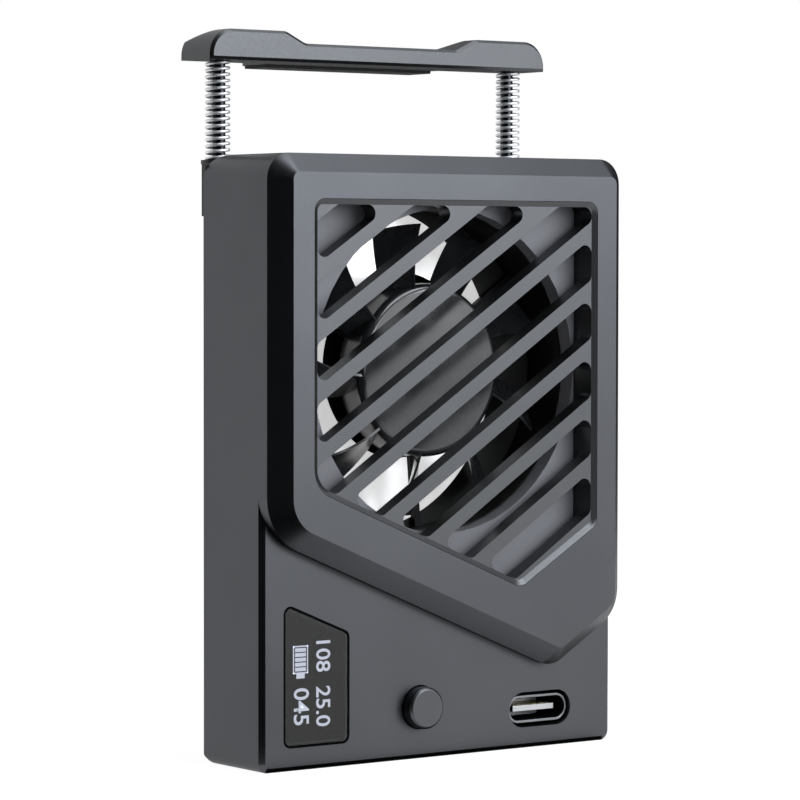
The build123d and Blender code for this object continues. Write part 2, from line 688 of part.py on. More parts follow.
def make_thermoelectric_module():
    """Two ceramic plates with rows of pellets between them."""
    half = COOLER_SIDE / 2
    square = (-half, half)
    heights = (COOL_Z - half, COOL_Z + half)
    hot = block(square, (COOLER_D, COOLER_D + CERAMIC_T), heights)
    cold = block(square, (COLD_FLANGE_D - CERAMIC_T, COLD_FLANGE_D), heights)
    module = hot + cold
    between = (COOLER_D + CERAMIC_T, COLD_FLANGE_D - CERAMIC_T)
    pitch = COOLER_SIDE / PELLETS_PER_SIDE
    for i in range(PELLETS_PER_SIDE):
        for j in range(PELLETS_PER_SIDE):
            x = -half + (i + 0.5) * pitch
            z = COOL_Z - half + (j + 0.5) * pitch
            module += block((x - PELLET_SIDE / 2, x + PELLET_SIDE / 2), between,
                            (z - PELLET_SIDE / 2, z + PELLET_SIDE / 2))
    return module


def make_cold_plate():
    """Cold plate: a flange inside the rear cover and a face that stands out through its window."""
    face = slab(Pos(0, COOL_Z) * Rectangle(COLD_W, COLD_H), COLD_FLANGE_D, COLD_FACE)
    flange = slab(Pos(0, COOL_Z) * Rectangle(COLD_W + 2 * COLD_FLANGE, COLD_H + 2 * COLD_FLANGE),
                  COLD_FLANGE_D, COLD_FLANGE_D + COLD_FLANGE_T)
    plate = face + flange
    for x, z in cold_plate_places():
        plate -= screw_hole(x, z, COLD_FACE - SCREW_HEAD_H, COLD_FLANGE_D - CUT, COLD_FACE + CUT)
    return plate


def make_plate_screws():
    """Four screws that draw the cold plate to the heat sink."""
    return [screw(x, z, COLD_FACE, SINK_D + SCREW_TIP_GAP / 2) for x, z in cold_plate_places()]


def make_thermal_pad():
    """Soft pad that touches the phone's back."""
    outline = Pos(0, COOL_Z) * Rectangle(THERMAL_PAD_W, THERMAL_PAD_H)
    return slab(outline, COLD_FACE, COLD_FACE + THERMAL_PAD_T)


def make_temperature_sensor():
    """Bead that reads the cold plate beside the thermoelectric module."""
    x = (COOLER_SIDE / 2 + COLD_W / 2 + COLD_FLANGE) / 2
    return prism(x, COOL_Z, SENSOR_R, COLD_FLANGE_D - SENSOR_T, COLD_FLANGE_D)


def cover_half_width(depth):
    """Half width of the rear cover's outside at a depth: its sides lean inward to the rear."""
    return BODY_W / 2 - COVER_SIDE_INSET - COVER_SLOPE * (depth - SHELL_D)


def make_rear_cover():
    """Rear cover: leaning sides, a window for the cold plate, and pockets that guide the rods."""
    wide, narrow = cover_half_width(SHELL_D), cover_half_width(COVER_BACK)
    front_y, back_y = FACE_Y + SHELL_D, FACE_Y + COVER_BACK
    plan = make_face(Polyline((-wide, front_y), (wide, front_y), (narrow, back_y), (-narrow, back_y),
                              close=True))
    cover = along_z(plan, COVER_FOOT_Z, COVER_TOP_Z)
    inside = (SHELL_D - CUT, COVER_BACK - COVER_T)
    cover -= block((-COVER_CAVITY_HALF_W, COVER_CAVITY_HALF_W), inside,
                   (COVER_FOOT_Z + COVER_T, COVER_TOP_Z - COVER_T))
    low_half = cover_half_width(COVER_BACK - COVER_T) - WALL
    cover -= block((-low_half, low_half), inside, (COVER_FOOT_Z + COVER_T, RING_BORE_FOOT_Z - WALL))
    window = Pos(0, COOL_Z) * Rectangle(COLD_W + 2 * COLD_FIT, COLD_H + 2 * COLD_FIT)
    cover -= slab(window, COVER_BACK - COVER_T - CUT, COVER_BACK + CUT)
    for sx in (-1, 1):
        cover -= square_post(sx * ROD_X, ROD_D, BUSH_SIDE, BUSH_FOOT_Z, COVER_TOP_Z + CUT)
        cover -= square_post(sx * ROD_X, ROD_D, RING_BORE_SIDE, RING_BORE_FOOT_Z, COVER_TOP_Z)
        x = sx * TOP_POST_X
        cover += block((x - POST_R, x + POST_R), (SHELL_D, COVER_BACK),
                       (TOP_POST_Z - POST_R, COVER_TOP_Z))
        x = sx * JAW_SCREW_X
        cover += block((x - POST_R, x + POST_R), (ROD_D - POST_R, COVER_BACK - COVER_T / 2),
                       (COVER_FOOT_Z, COVER_FOOT_Z + JAW_SCREW_BITE))
        cover -= upright_prism(x, ROD_D, SCREW_SHANK_R, COVER_FOOT_Z - CUT,
                               COVER_FOOT_Z + JAW_SCREW_BITE - SCREW_TIP_GAP)
    for x, z, head_rear in cover_screw_places():
        cover -= screw_hole(x, z, head_rear - SCREW_HEAD_H, SHELL_D - CUT, COVER_BACK + CUT)
    return cover


def make_cover_screws():
    """Four screws from the rear that close the housing."""
    tip = SHELL_D - POST_BITE + SCREW_TIP_GAP
    return [screw(x, z, head_rear, tip) for x, z, head_rear in cover_screw_places()]


def make_clamp_bar():
    """Sprung bar: a horn at each end, a low middle, and a hook that reaches over the phone's edge."""
    top, middle = BAR_REST_Z + BAR_HORN_H, BAR_REST_Z + BAR_MIDDLE_H
    corners = [(-BAR_HALF_W, BAR_REST_Z, 0), (BAR_HALF_W, BAR_REST_Z, 0),
               (BAR_HALF_W, top, HORN_R), (HORN_INNER_X, top, HORN_BLEND_R),
               (HORN_FOOT_X, middle, HORN_BLEND_R), (-HORN_FOOT_X, middle, HORN_BLEND_R),
               (-HORN_INNER_X, top, HORN_BLEND_R), (-BAR_HALF_W, top, HORN_R)]
    bar_rear = SHELL_D + BAR_D
    bar = slab(rounded(corners), SHELL_D, bar_rear)
    bar = chamfer(bar.faces().sort_by(Axis.Y)[0].edges(), BAR_EDGE)
    y_rear = FACE_Y + bar_rear
    bar -= across(make_face(Polyline((y_rear - BAR_REAR_BEVEL_D, top), (y_rear - BAR_REAR_BEVEL_D, top + CUT),
                                     (y_rear + CUT, top + CUT), (y_rear + CUT, top - BAR_REAR_BEVEL_H),
                                     (y_rear, top - BAR_REAR_BEVEL_H), close=True)))
    bar += block((-HOOK_HALF_W, HOOK_HALF_W), (bar_rear - CUT, REACH), (BAR_REST_Z, middle))
    bar = fillet(tip_edges(bar), HOOK_CORNER_R)
    bar -= pad_block(bar_rear, BAR_REST_Z - CUT, BAR_REST_Z + JAW_PAD_T - JAW_PAD_PROUD)
    shank_r = BAR_SCREW_SHANK_R + HEAD_CLEARANCE
    head_r = BAR_SCREW_HEAD_R + HEAD_CLEARANCE
    for sx in (-1, 1):
        x = sx * ROD_X
        bar -= upright_prism(x, ROD_D, ROD_SOCKET_R, BAR_REST_Z - CUT, ROD_TOP_Z)
        bar -= upright_prism(x, ROD_D, shank_r, ROD_TOP_Z - CUT / 2, top + CUT)
        bar -= upright_prism(x, ROD_D, head_r, top - BAR_SCREW_HEAD_H, top + CUT)
    return bar


def tip_edges(piece):
    """The two upright edges at the rear end of a hook or jaw."""
    return piece.edges().filter_by(Axis.Z).sort_by(Axis.Y)[-2:]


def pad_block(root, low, high):
    """Space of a rubber pad near the tip of the hook or the jaw."""
    half = HOOK_HALF_W - JAW_PAD_MARGIN
    return block((-half, half), (root + JAW_PAD_MARGIN, REACH - JAW_PAD_MARGIN), (low, high))


def make_clamp_pad():
    """Rubber pad let into the underside of the hook."""
    low = BAR_REST_Z - JAW_PAD_PROUD
    return pad_block(SHELL_D + BAR_D, low, low + JAW_PAD_T)


def make_lower_jaw():
    """Fixed jaw under the rear cover, flush with the rest face."""
    jaw = block((-HOOK_HALF_W, HOOK_HALF_W), (SHELL_D + 0.1, REACH), (0, COVER_FOOT_Z))
    jaw += block((-HOOK_HALF_W, HOOK_HALF_W), (COVER_BACK + 0.1, REACH), (0, JAW_T))
    jaw = fillet(tip_edges(jaw), HOOK_CORNER_R)
    jaw -= pad_block(COVER_BACK, JAW_T - JAW_PAD_T + JAW_PAD_PROUD, JAW_T + CUT)
    for sx in (-1, 1):
        x = sx * JAW_SCREW_X
        jaw -= upright_prism(x, ROD_D, SCREW_SHANK_R + HEAD_CLEARANCE, -CUT, COVER_FOOT_Z + CUT)
        jaw -= upright_prism(x, ROD_D, SCREW_HEAD_R + HEAD_CLEARANCE, -CUT, SCREW_HEAD_H)
    return jaw


def make_lower_jaw_pad():
    """Rubber pad let into the top of the lower jaw."""
    high = JAW_T + JAW_PAD_PROUD
    return pad_block(COVER_BACK, high - JAW_PAD_T, high)


def make_jaw_screws():
    """Two screws from below that hold the lower jaw to the rear cover."""
    tip = COVER_FOOT_Z + JAW_SCREW_BITE - 2 * SCREW_TIP_GAP
    return [upright_prism(sx * JAW_SCREW_X, ROD_D, SCREW_HEAD_R, JAW_SCREW_SINK, SCREW_HEAD_H)
            + upright_prism(sx * JAW_SCREW_X, ROD_D, SCREW_SHANK_R, SCREW_HEAD_H, tip) for sx in (-1, 1)]


def make_rod(side):
    """Steel rod from the bar down into the rear cover."""
    x = side * ROD_X
    rod = column(x, ROD_D, ROD_R, ROD_FOOT_Z, ROD_TOP_Z)
    return rod - upright_prism(x, ROD_D, BAR_SCREW_SHANK_R, ROD_TOP_Z - BAR_SCREW_BITE, ROD_TOP_Z + CUT)


def make_stop_rings():
    """Rings pressed on the rods that stop under the bushes when the bar is pulled right up."""
    low, high = STOP_RING_TOP_Z - STOP_RING_T, STOP_RING_TOP_Z
    return [upright_prism(sx * ROD_X, ROD_D, STOP_RING_R, low, high)
            - upright_prism(sx * ROD_X, ROD_D, ROD_SOCKET_R, low - CUT, high + CUT) for sx in (-1, 1)]


def make_guide_bushes():
    """Flanged bushes that guide the rods and seat the springs."""
    bushes = []
    for sx in (-1, 1):
        x = sx * ROD_X
        bush = square_post(x, ROD_D, BUSH_SIDE, BUSH_FOOT_Z, COVER_TOP_Z)
        bush += upright_prism(x, ROD_D, BUSH_FLANGE_R, COVER_TOP_Z, SPRING_SEAT_Z, RING_SIDES)
        bushes.append(bush - column(x, ROD_D, ROD_R + BUSH_CLEARANCE, BUSH_FOOT_Z - CUT, SPRING_SEAT_Z + CUT))
    return bushes


def make_bar_screws():
    """Two small screws from above that hold the rods in the bar."""
    head_foot = BAR_REST_Z + BAR_HORN_H - BAR_SCREW_HEAD_H
    head_top = BAR_REST_Z + BAR_HORN_H - BAR_SCREW_SINK
    tip = ROD_TOP_Z - BAR_SCREW_BITE + SCREW_TIP_GAP
    return [upright_prism(sx * ROD_X, ROD_D, BAR_SCREW_HEAD_R, head_foot, head_top)
            + upright_prism(sx * ROD_X, ROD_D, BAR_SCREW_SHANK_R, tip, head_foot) for sx in (-1, 1)]


def spring_path(side):
    """Centre line of a spring: straight ends square to their seats, with bends and half turns between."""
    centre_y = FACE_Y + ROD_D
    start = 180.0 if side > 0 else 0.0
    lead = SPRING_WIRE + SPRING_BEND_R
    pitch = (BAR_REST_Z - SPRING_SEAT_Z - 2 * lead) / SPRING_TURNS

    def helix(turns):
        angle = math.radians(start + 360 * turns)
        return Vector(side * SPRING_X + SPRING_MEAN_R * math.cos(angle),
                      centre_y + SPRING_MEAN_R * math.sin(angle), SPRING_SEAT_Z + lead + pitch * turns)

    a = math.radians(start)
    tangent = Vector(-math.sin(a), math.cos(a), 0)
    up = Vector(0, 0, 1)
    first, last = helix(0), helix(SPRING_TURNS)
    low_bend = first - up * SPRING_BEND_R - tangent * SPRING_BEND_R
    low_mid = first - up * SPRING_BEND_R + (up - tangent) * (SPRING_BEND_R / math.sqrt(2))
    high_bend = last + up * SPRING_BEND_R + tangent * SPRING_BEND_R
    high_mid = last + up * SPRING_BEND_R + (tangent - up) * (SPRING_BEND_R / math.sqrt(2))
    edges = [Line(low_bend - up * SPRING_WIRE, low_bend), ThreePointArc(low_bend, low_mid, first)]
    for i in range(2 * SPRING_TURNS):
        edges.append(ThreePointArc(helix(i / 2), helix(i / 2 + 0.25), helix(i / 2 + 0.5)))
    edges += [ThreePointArc(last, high_mid, high_bend), Line(high_bend, high_bend + up * SPRING_WIRE)]
    return Wire(edges)


def make_spring(side):
    """Coil spring round a rod, from the bush's flange to the underside of the bar."""
    path = spring_path(side)
    start = Plane(origin=path @ 0, x_dir=(1, 0, 0), z_dir=(0, 0, 1))
    return sweep(start * RegularPolygon(SPRING_WIRE / 2, SPRING_SIDES), path=path)


def print_spring_gap():
    """Prints the least gap between neighbouring turns, measured on points of the centre line."""
    path = spring_path(1)
    count = 48 * SPRING_TURNS
    points = [path @ (i / count) for i in range(count + 1)]
    apart = int(0.7 * count / SPRING_TURNS)
    least = min((points[i] - points[j]).length for i in range(count + 1)
                for j in range(i + apart, min(i + 2 * apart, count + 1)))
    print("spring: least gap between turns", round(least - SPRING_WIRE, 3), "mm")


def make_button_cap():
    """Push button: a round cap with a flange behind the panel and a stem."""
    cap_d = PANEL_DROP - BUTTON_PROUD
    flange_d = PANEL_BACK + BUTTON_FLANGE_GAP
    cap = disc(BUTTON_X, BUTTON_Z, BUTTON_R, cap_d, flange_d)
    cap = chamfer(cap.faces().sort_by(Axis.Y)[0].edges(), BUTTON_EDGE)
    cap += prism(BUTTON_X, BUTTON_Z, BUTTON_FLANGE_R, flange_d, flange_d + BUTTON_FLANGE_T, RING_SIDES)
    return cap + prism(BUTTON_X, BUTTON_Z, BUTTON_STEM_R, flange_d + BUTTON_FLANGE_T, PLUNGER_D)


def make_switch_plunger():
    """Plunger of the switch, carried along by the button's stem."""
    return prism(BUTTON_X, BUTTON_Z, PLUNGER_R, PLUNGER_D, PLUNGER_D + PLUNGER_L)


def make_tactile_switch():
    """Switch body on the main board, with a hole for its plunger."""
    half = SWITCH_SIDE / 2
    body = block((BUTTON_X - half, BUTTON_X + half), (BOARD_D - SWITCH_T, BOARD_D),
                 (BUTTON_Z - half, BUTTON_Z + half))
    hole_far = PLUNGER_D + PLUNGER_L + BUTTON_TRAVEL + PLUNGER_GAP
    return body - prism(BUTTON_X, BUTTON_Z, PLUNGER_R + PLUNGER_GAP, BOARD_D - SWITCH_T - CUT, hole_far)


def make_usb_shell():
    """Steel shell of the charging socket."""
    near = PANEL_DROP + USB_SETBACK
    outer = slab(stadium(USB_X, USB_Z, USB_SHELL_W, USB_SHELL_H), near, BOARD_D)
    inner_w, inner_h = USB_SHELL_W - 2 * USB_SHELL_T, USB_SHELL_H - 2 * USB_SHELL_T
    return outer - slab(stadium(USB_X, USB_Z, inner_w, inner_h), near - CUT, BOARD_D + CUT)


def make_usb_tongue():
    """Contact tongue of the charging socket, on the plug of plastic that closes its rear."""
    half_w, half_h = USB_TONGUE_W / 2, USB_SHELL_H / 2 - USB_SHELL_T
    base = block((USB_X - half_w, USB_X + half_w), (BOARD_D - USB_BASE_T, BOARD_D),
                 (USB_Z - half_h, USB_Z + half_h))
    near = PANEL_DROP + USB_SETBACK + USB_TONGUE_SETBACK
    half_t = USB_TONGUE_T / 2
    return base + block((USB_X - half_w, USB_X + half_w), (near, BOARD_D), (USB_Z - half_t, USB_Z + half_t))


def make_display_window():
    """Clear window of the display, let into the panel."""
    near = PANEL_DROP + DISPLAY_SETBACK
    return slab(display_outline(), near, near + DISPLAY_LENS_T)


def make_display_module():
    """Display behind its window."""
    near = PANEL_DROP + DISPLAY_SETBACK + DISPLAY_LENS_T
    return slab(offset(display_outline(0), amount=-DISPLAY_MODULE_INSET), near, near + DISPLAY_MODULE_T)


def make_main_board():
    """Main circuit board on its posts."""
    rear = BOARD_D + BOARD_T
    board = block((-BOARD_W / 2, BOARD_W / 2), (BOARD_D, rear), (BOARD_FOOT_Z, BOARD_TOP_Z))
    for x, z in BOARD_POSTS:
        board -= prism(x, z, SCREW_SHANK_R + HEAD_CLEARANCE, BOARD_D - CUT, rear + CUT)
    return board


def make_board_screws():
    """Two screws that hold the main board to its posts."""
    tip = BOARD_D - POST_BITE + SCREW_TIP_GAP
    return [screw(x, z, BOARD_D + BOARD_T + SCREW_HEAD_H, tip) for x, z in BOARD_POSTS]


def make_battery():
    """Flat battery behind the main board and its screws."""
    near = BOARD_D + BOARD_T + BATTERY_GAP
    cell = block((-BATTERY_W / 2, BATTERY_W / 2), (near, near + BATTERY_T), (BATTERY_FOOT_Z, BATTERY_TOP_Z))
    return chamfer(cell.edges().filter_by(Axis.X), BATTERY_BEVEL)


PIECES = {
    "front_shell": make_front_shell,
    "grille": make_grille,
    "fan_shroud": make_fan_shroud,
    "fan_frame": make_fan_frame,
    "bearing": make_bearing,
    "rotor_shaft": make_rotor_shaft,
    "fan_rotor": make_fan_rotor,
    "magnet_ring": make_magnet_ring,
    "stator": make_stator,
    "fan_board": make_fan_board,
    "fan_screws": make_fan_screws,
    "heat_sink": make_heat_sink,
    "thermoelectric_module": make_thermoelectric_module,
    "cold_plate": make_cold_plate,
    "plate_screws": make_plate_screws,
    "thermal_pad": make_thermal_pad,
    "temperature_sensor": make_temperature_sensor,
    "rear_cover": make_rear_cover,
    "cover_screws": make_cover_screws,
    "clamp_bar": make_clamp_bar,
    "clamp_pad": make_clamp_pad,
    "lower_jaw": make_lower_jaw,
    "lower_jaw_pad": make_lower_jaw_pad,
    "jaw_screws": make_jaw_screws,
    "left_rod": lambda: make_rod(-1),
    "right_rod": lambda: make_rod(1),
    "rod_stop_rings": make_stop_rings,
    "guide_bushes": make_guide_bushes,
    "bar_screws": make_bar_screws,
    "left_spring": lambda: make_spring(-1),
    "right_spring": lambda: make_spring(1),
    "button_cap": make_button_cap,
    "switch_plunger": make_switch_plunger,
    "tactile_switch": make_tactile_switch,
    "usb_shell": make_usb_shell,
    "usb_tongue": make_usb_tongue,
    "display_window": make_display_window,
    "display_module": make_display_module,
    "main_board": make_main_board,
    "board_screws": make_board_screws,
    "battery": make_battery,
}

os.makedirs("parts", exist_ok=True)
for name, make in PIECES.items():
    piece = make()
    solids = piece if isinstance(piece, list) else [piece]
    node = Compound(children=[solid for item in solids for solid in item.solids()])
    export_step(node, f"parts/{name}.step")
print_spring_gap()
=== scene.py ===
"""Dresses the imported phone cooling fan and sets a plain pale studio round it.

Every CAD piece gets its finish, and the pieces that a close look needs finer are built here.
Lengths are in metres in the part's own frame: x to the right as seen from the grille, y to the
rear where the phone lies, and z up. Angles are in degrees.
"""
import logging
import math
from dataclasses import dataclass
from enum import Enum
from typing import Sequence

import bmesh
import bpy
from mathutils import Matrix, Vector


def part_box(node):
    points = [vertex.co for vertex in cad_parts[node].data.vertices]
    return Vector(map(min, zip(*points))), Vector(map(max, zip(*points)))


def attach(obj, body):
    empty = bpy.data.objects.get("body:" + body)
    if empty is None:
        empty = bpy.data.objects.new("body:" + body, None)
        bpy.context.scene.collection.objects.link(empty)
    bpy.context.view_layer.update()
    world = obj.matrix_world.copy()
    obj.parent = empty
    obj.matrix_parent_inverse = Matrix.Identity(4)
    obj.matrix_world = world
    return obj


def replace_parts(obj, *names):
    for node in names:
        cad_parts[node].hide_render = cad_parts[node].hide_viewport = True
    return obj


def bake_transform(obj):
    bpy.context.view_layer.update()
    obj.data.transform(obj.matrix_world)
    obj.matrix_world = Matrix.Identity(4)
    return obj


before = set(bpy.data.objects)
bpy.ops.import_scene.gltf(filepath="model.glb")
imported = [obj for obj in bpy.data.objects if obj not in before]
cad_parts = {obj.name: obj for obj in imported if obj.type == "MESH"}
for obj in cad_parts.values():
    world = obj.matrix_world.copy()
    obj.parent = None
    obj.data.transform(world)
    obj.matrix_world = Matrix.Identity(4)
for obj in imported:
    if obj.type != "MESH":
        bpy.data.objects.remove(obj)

MM = 0.001
WELD = 1e-7
FLAT_WITHIN = 0.4
BEVEL_FROM = 30.0
WHITE = (1.0, 1.0, 1.0, 1.0)
SQUARE = ((-1, -1), (1, -1), (1, 1), (-1, 1))
LOG = logging.getLogger("phone_cooler")

Colour = tuple[float, float, float]
Profile = Sequence[tuple[float, float]]
Place = tuple[float, float, float]
Face = Sequence[Vector]
Socket = bpy.types.NodeSocket
Material = bpy.types.Material


class Body(str, Enum):
    """Moving bodies of the cooler."""

    HOUSING = "housing"
    ROTOR = "rotor"
    BUTTON = "button"
    CLAMP = "clamp"


class Axis(Enum):
    """Direction in which a turned piece points, as the turn about x that takes +z to it."""

    REAR = -90.0
    UP = 0.0
    DOWN = 180.0

    def turn(self) -> Matrix:
        """Matrix that takes +z to this direction."""
        return Matrix.Rotation(math.radians(self.value), 4, "X")


class Drive(Enum):
    """Recess in a screw's head, as its number of corners."""

    CROSS = 4
    HEXAGON = 6


class Lay(Enum):
    """Direction of the fine lines on drawn or brushed metal, as stretch in x, y and z."""

    ALONG_X = (0.04, 1.0, 1.0)
    ALONG_Z = (1.0, 1.0, 0.04)
    EVEN = (1.0, 1.0, 1.0)


def linear(red: int, green: int, blue: int) -> Colour:
    """Colour as it is seen on a screen, 0 to 255, turned into the light that a shader takes."""
    shares = (v / 255 for v in (red, green, blue))
    return tuple(((v + 0.055) / 1.055) ** 2.4 if v > 0.04 else v / 12.92 for v in shares)


def show(name: str, data: bpy.types.ID) -> bpy.types.Object:
    """Puts a new object in the scene.

    Args:
        name: The object's name.
        data: Its mesh, lamp, camera or lettering.

    Returns:
        The object.
    """
    thing = bpy.data.objects.new(name, data)
    bpy.context.scene.collection.objects.link(thing)
    return thing


class NodeSheet:
    """Node tree of one material or world, with short calls to add and join its nodes."""

    def __init__(self, owner: Material | bpy.types.World) -> None:
        """Starts an empty sheet.

        Args:
            owner: Material or world whose tree it is.
        """
        self.owner = owner
        owner.use_nodes = True
        self.tree = owner.node_tree
        self.tree.nodes.clear()
        kind = "World" if isinstance(owner, bpy.types.World) else "Material"
        self.output = self.add(f"ShaderNodeOutput{kind}")

    def add(self, kind: str, values: dict | None = None, **settings: object) -> bpy.types.Node:
        """Adds a node.

        Args:
            kind: Blender's name for the node type.
            values: Values or sockets by the name or number of the input that takes them.
            settings: The node's own options.

        Returns:
            The new node.
        """
        node = self.tree.nodes.new(kind)
        for option, choice in settings.items():
            setattr(node, option, choice)
        for socket, value in (values or {}).items():
            if isinstance(value, Socket):
                self.tree.links.new(value, node.inputs[socket])
            else:
                node.inputs[socket].default_value = value
        return node

    def stretched(self, stretch: Place) -> Socket:
        """Object coordinates, stretched in each direction."""
        place = self.add("ShaderNodeTexCoord").outputs["Object"]
        return self.add("ShaderNodeMapping", {"Vector": place, "Scale": stretch}).outputs["Vector"]

    def noise(self, size: float, detail: float = 2.0, stretch: Place = (1.0, 1.0, 1.0)) -> Socket:
        """Soft random pattern from 0 to 1, with patches of this size and this many finer layers."""
        values = {"Vector": self.stretched(stretch), "Scale": 1 / size, "Detail": detail}
        return self.add("ShaderNodeTexNoise", values).outputs[0]

    def spread(self, source: Socket, low: float, high: float, start: float = 0.3, end: float = 0.7) -> Socket:
        """Turns the part of a pattern from start to end into values from low to high."""
        values = {"Value": source, "From Min": start, "From Max": end, "To Min": low, "To Max": high}
        return self.add("ShaderNodeMapRange", values).outputs[0]

    def shades(self, source: Socket, colour: Colour, change: float) -> Socket:
        """Colour that varies with a pattern.

        Args:
            source: Pattern from 0 to 1.
            colour: Middle colour.
            change: Share by which it goes darker and lighter.

        Returns:
            Colour socket.
        """
        ramp = self.add("ShaderNodeValToRGB", {"Fac": source})
        for stop, place, scale in zip(ramp.color_ramp.elements, (0.3, 0.7), (1 - change, 1 + change)):
            stop.position = place
            stop.color = (*(min(1.0, v * scale) for v in colour), 1.0)
        return ramp.outputs["Color"]

    def bump(self, height: Socket, depth: float, strength: float, under: Socket | None = None) -> Socket:
        """Fine relief.

        Args:
            height: Pattern from 0 to 1.
            depth: Height of the relief.
            strength: Share of it that shows.
            under: Normal of a coarser relief beneath it.

        Returns:
            Normal socket.
        """
        values = {"Height": height, "Distance": depth, "Strength": strength}
        if under is not None:
            values["Normal"] = under
        return self.add("ShaderNodeBump", values).outputs["Normal"]

    def end(self, shader: bpy.types.Node) -> Material | bpy.types.World:
        """Joins the last shader to the output, and gives back the sheet's owner."""
        self.tree.links.new(shader.outputs[0], self.output.inputs["Surface"])
        return self.owner

    def finish(self, values: dict) -> Material:
        """Ends the sheet with a principled shader that has these values or sockets by name."""
        return self.end(self.add("ShaderNodeBsdfPrincipled", values))


@dataclass(frozen=True)
class Finish:
    """A finish with its name and the record's slot that it belongs to."""

    name: str
    slot: str
    colour: Colour

    def build(self, sheet: NodeSheet) -> Material:
        """Fills the sheet: each kind of finish has its own."""
        raise NotImplementedError

    def material(self) -> Material:
        """The finish's material, made the first time that it is asked for."""
        shelf = bpy.data.materials
        return shelf.get(self.name) or self.build(NodeSheet(shelf.new(self.name)))


@dataclass(frozen=True)
class PaintFinish(Finish):
    """Satin metallic paint on a moulding: fine flakes, slight orange peel and faint mottling."""

    roughness: float = 0.38
    metallic: float = 1.0
    edge_tint: float = 0.8
    flake: float = 0.16 * MM
    peel: float = 1.4 * MM
    mottle: float = 14 * MM

    def build(self, sheet: NodeSheet) -> Material:
        """Fills the sheet.

        Args:
            sheet: Empty node sheet.

        Returns:
            The paint.
        """
        flakes = sheet.noise(self.flake, detail=3)
        peel = sheet.bump(sheet.noise(self.peel), depth=0.01 * MM, strength=0.12)
        return sheet.finish({
            "Base Color": sheet.shades(sheet.noise(self.mottle, detail=5), self.colour, change=0.05),
            "Metallic": self.metallic,
            "Specular Tint": (self.edge_tint, self.edge_tint, self.edge_tint, 1.0),
            "Roughness": sheet.spread(flakes, self.roughness - 0.04, self.roughness + 0.05),
            "Normal": sheet.bump(flakes, depth=0.012 * MM, strength=0.18, under=peel),
        })


@dataclass(frozen=True)
class GrainedFinish(Finish):
    """Finish with soft tones of its colour, and a grain that shows in its gloss and relief."""

    roughness: float
    lay: Lay = Lay.EVEN
    grain: float = 0.22 * MM
    depth: float = 0.018 * MM
    strength: float = 0.35
    detail: float = 4
    tone: float = 6 * MM
    change: float = 0.10
    smoother: float = 0.06
    rougher: float = 0.08

    def extras(self) -> dict:
        """Further values of the shader, by name."""
        return {}

    def build(self, sheet: NodeSheet) -> Material:
        """Fills the sheet.

        Args:
            sheet: Empty node sheet.

        Returns:
            The material.
        """
        grain = sheet.noise(self.grain, self.detail, self.lay.value)
        tones = sheet.noise(self.tone, detail=4, stretch=self.lay.value)
        return sheet.finish({
            "Base Color": sheet.shades(tones, self.colour, self.change),
            "Roughness": sheet.spread(grain, self.roughness - self.smoother, self.roughness + self.rougher),
            "Normal": sheet.bump(grain, self.depth, self.strength),
            **self.extras(),
        })


@dataclass(frozen=True)
class PlasticFinish(GrainedFinish):
    """Moulded plastic with a spark-eroded grain."""

    specular: float = 0.5

    def extras(self) -> dict:
        """Strength of its mirroring."""
        return {"Specular IOR Level": self.specular}


@dataclass(frozen=True)
class MetalFinish(GrainedFinish):
    """Bare metal with drawn, brushed or cast lines; where set, it gives off light as painted light."""

    grain: float = 0.12 * MM
    depth: float = 0.006 * MM
    strength: float = 0.4
    tone: float = 3 * MM
    change: float = 0.08
    smoother: float = 0.07
    rougher: float = 0.09
    # Emission of a part that is no lamp: painted light.
    glow: float = 0.0

    def extras(self) -> dict:
        """Bare metal, with the light that it gives off: painted light, since it is no lamp."""
        return {"Metallic": 1.0, "Emission Color": (*self.colour, 1.0), "Emission Strength": self.glow}


@dataclass(frozen=True)
class RubberFinish(GrainedFinish):
    """Soft rubber: dull, with fine pits and a dusty sheen."""

    roughness: float = 0.75
    grain: float = 0.35 * MM
    depth: float = 0.03 * MM
    strength: float = 0.5
    detail: float = 5
    tone: float = 4 * MM
    change: float = 0.18
    smoother: float = 0.08
    rougher: float = 0.10

    def extras(self) -> dict:
        """Dusty sheen."""
        return {"Sheen Weight": 0.15, "Sheen Roughness": 0.6}


@dataclass(frozen=True)
class BoardFinish(Finish):
    """Circuit board: solder mask over fine copper tracks, with tinned pads."""

    pad: Colour = (0.62, 0.60, 0.52)
    pitch: float = 1.5 * MM
    pad_pitch: float = 2.2 * MM

    def build(self, sheet: NodeSheet) -> Material:
        """Fills the sheet.

        Args:
            sheet: Empty node sheet.

        Returns:
            The board.
        """
        tracks = sheet.add("ShaderNodeTexBrick", {
            "Vector": sheet.stretched((1.0, 0.1, 1.0)),
            "Color1": (*self.colour, 1.0),
            "Color2": (*(v * 1.35 for v in self.colour), 1.0),
            "Mortar": (*(v * 0.6 for v in self.colour), 1.0),
            "Scale": 1 / self.pitch,
            "Mortar Size": 0.06,
        })
        even = sheet.stretched((1.0, 1.0, 1.0))
        cells = sheet.add("ShaderNodeTexVoronoi", {"Vector": even, "Scale": 1 / self.pad_pitch})
        pads = sheet.spread(cells.outputs["Distance"], low=1.0, high=0.0, start=0.11, end=0.14)
        both = {"Factor": pads, "A": tracks.outputs["Color"], "B": (*self.pad, 1.0)}
        return sheet.finish({
            "Base Color": sheet.add("ShaderNodeMix", both, data_type="RGBA").outputs["Result"],
            "Metallic": pads,
            "Roughness": sheet.spread(sheet.noise(1 * MM, detail=3), low=0.25, high=0.38),
            "Normal": sheet.bump(tracks.outputs["Fac"], depth=0.02 * MM, strength=0.4),
        })


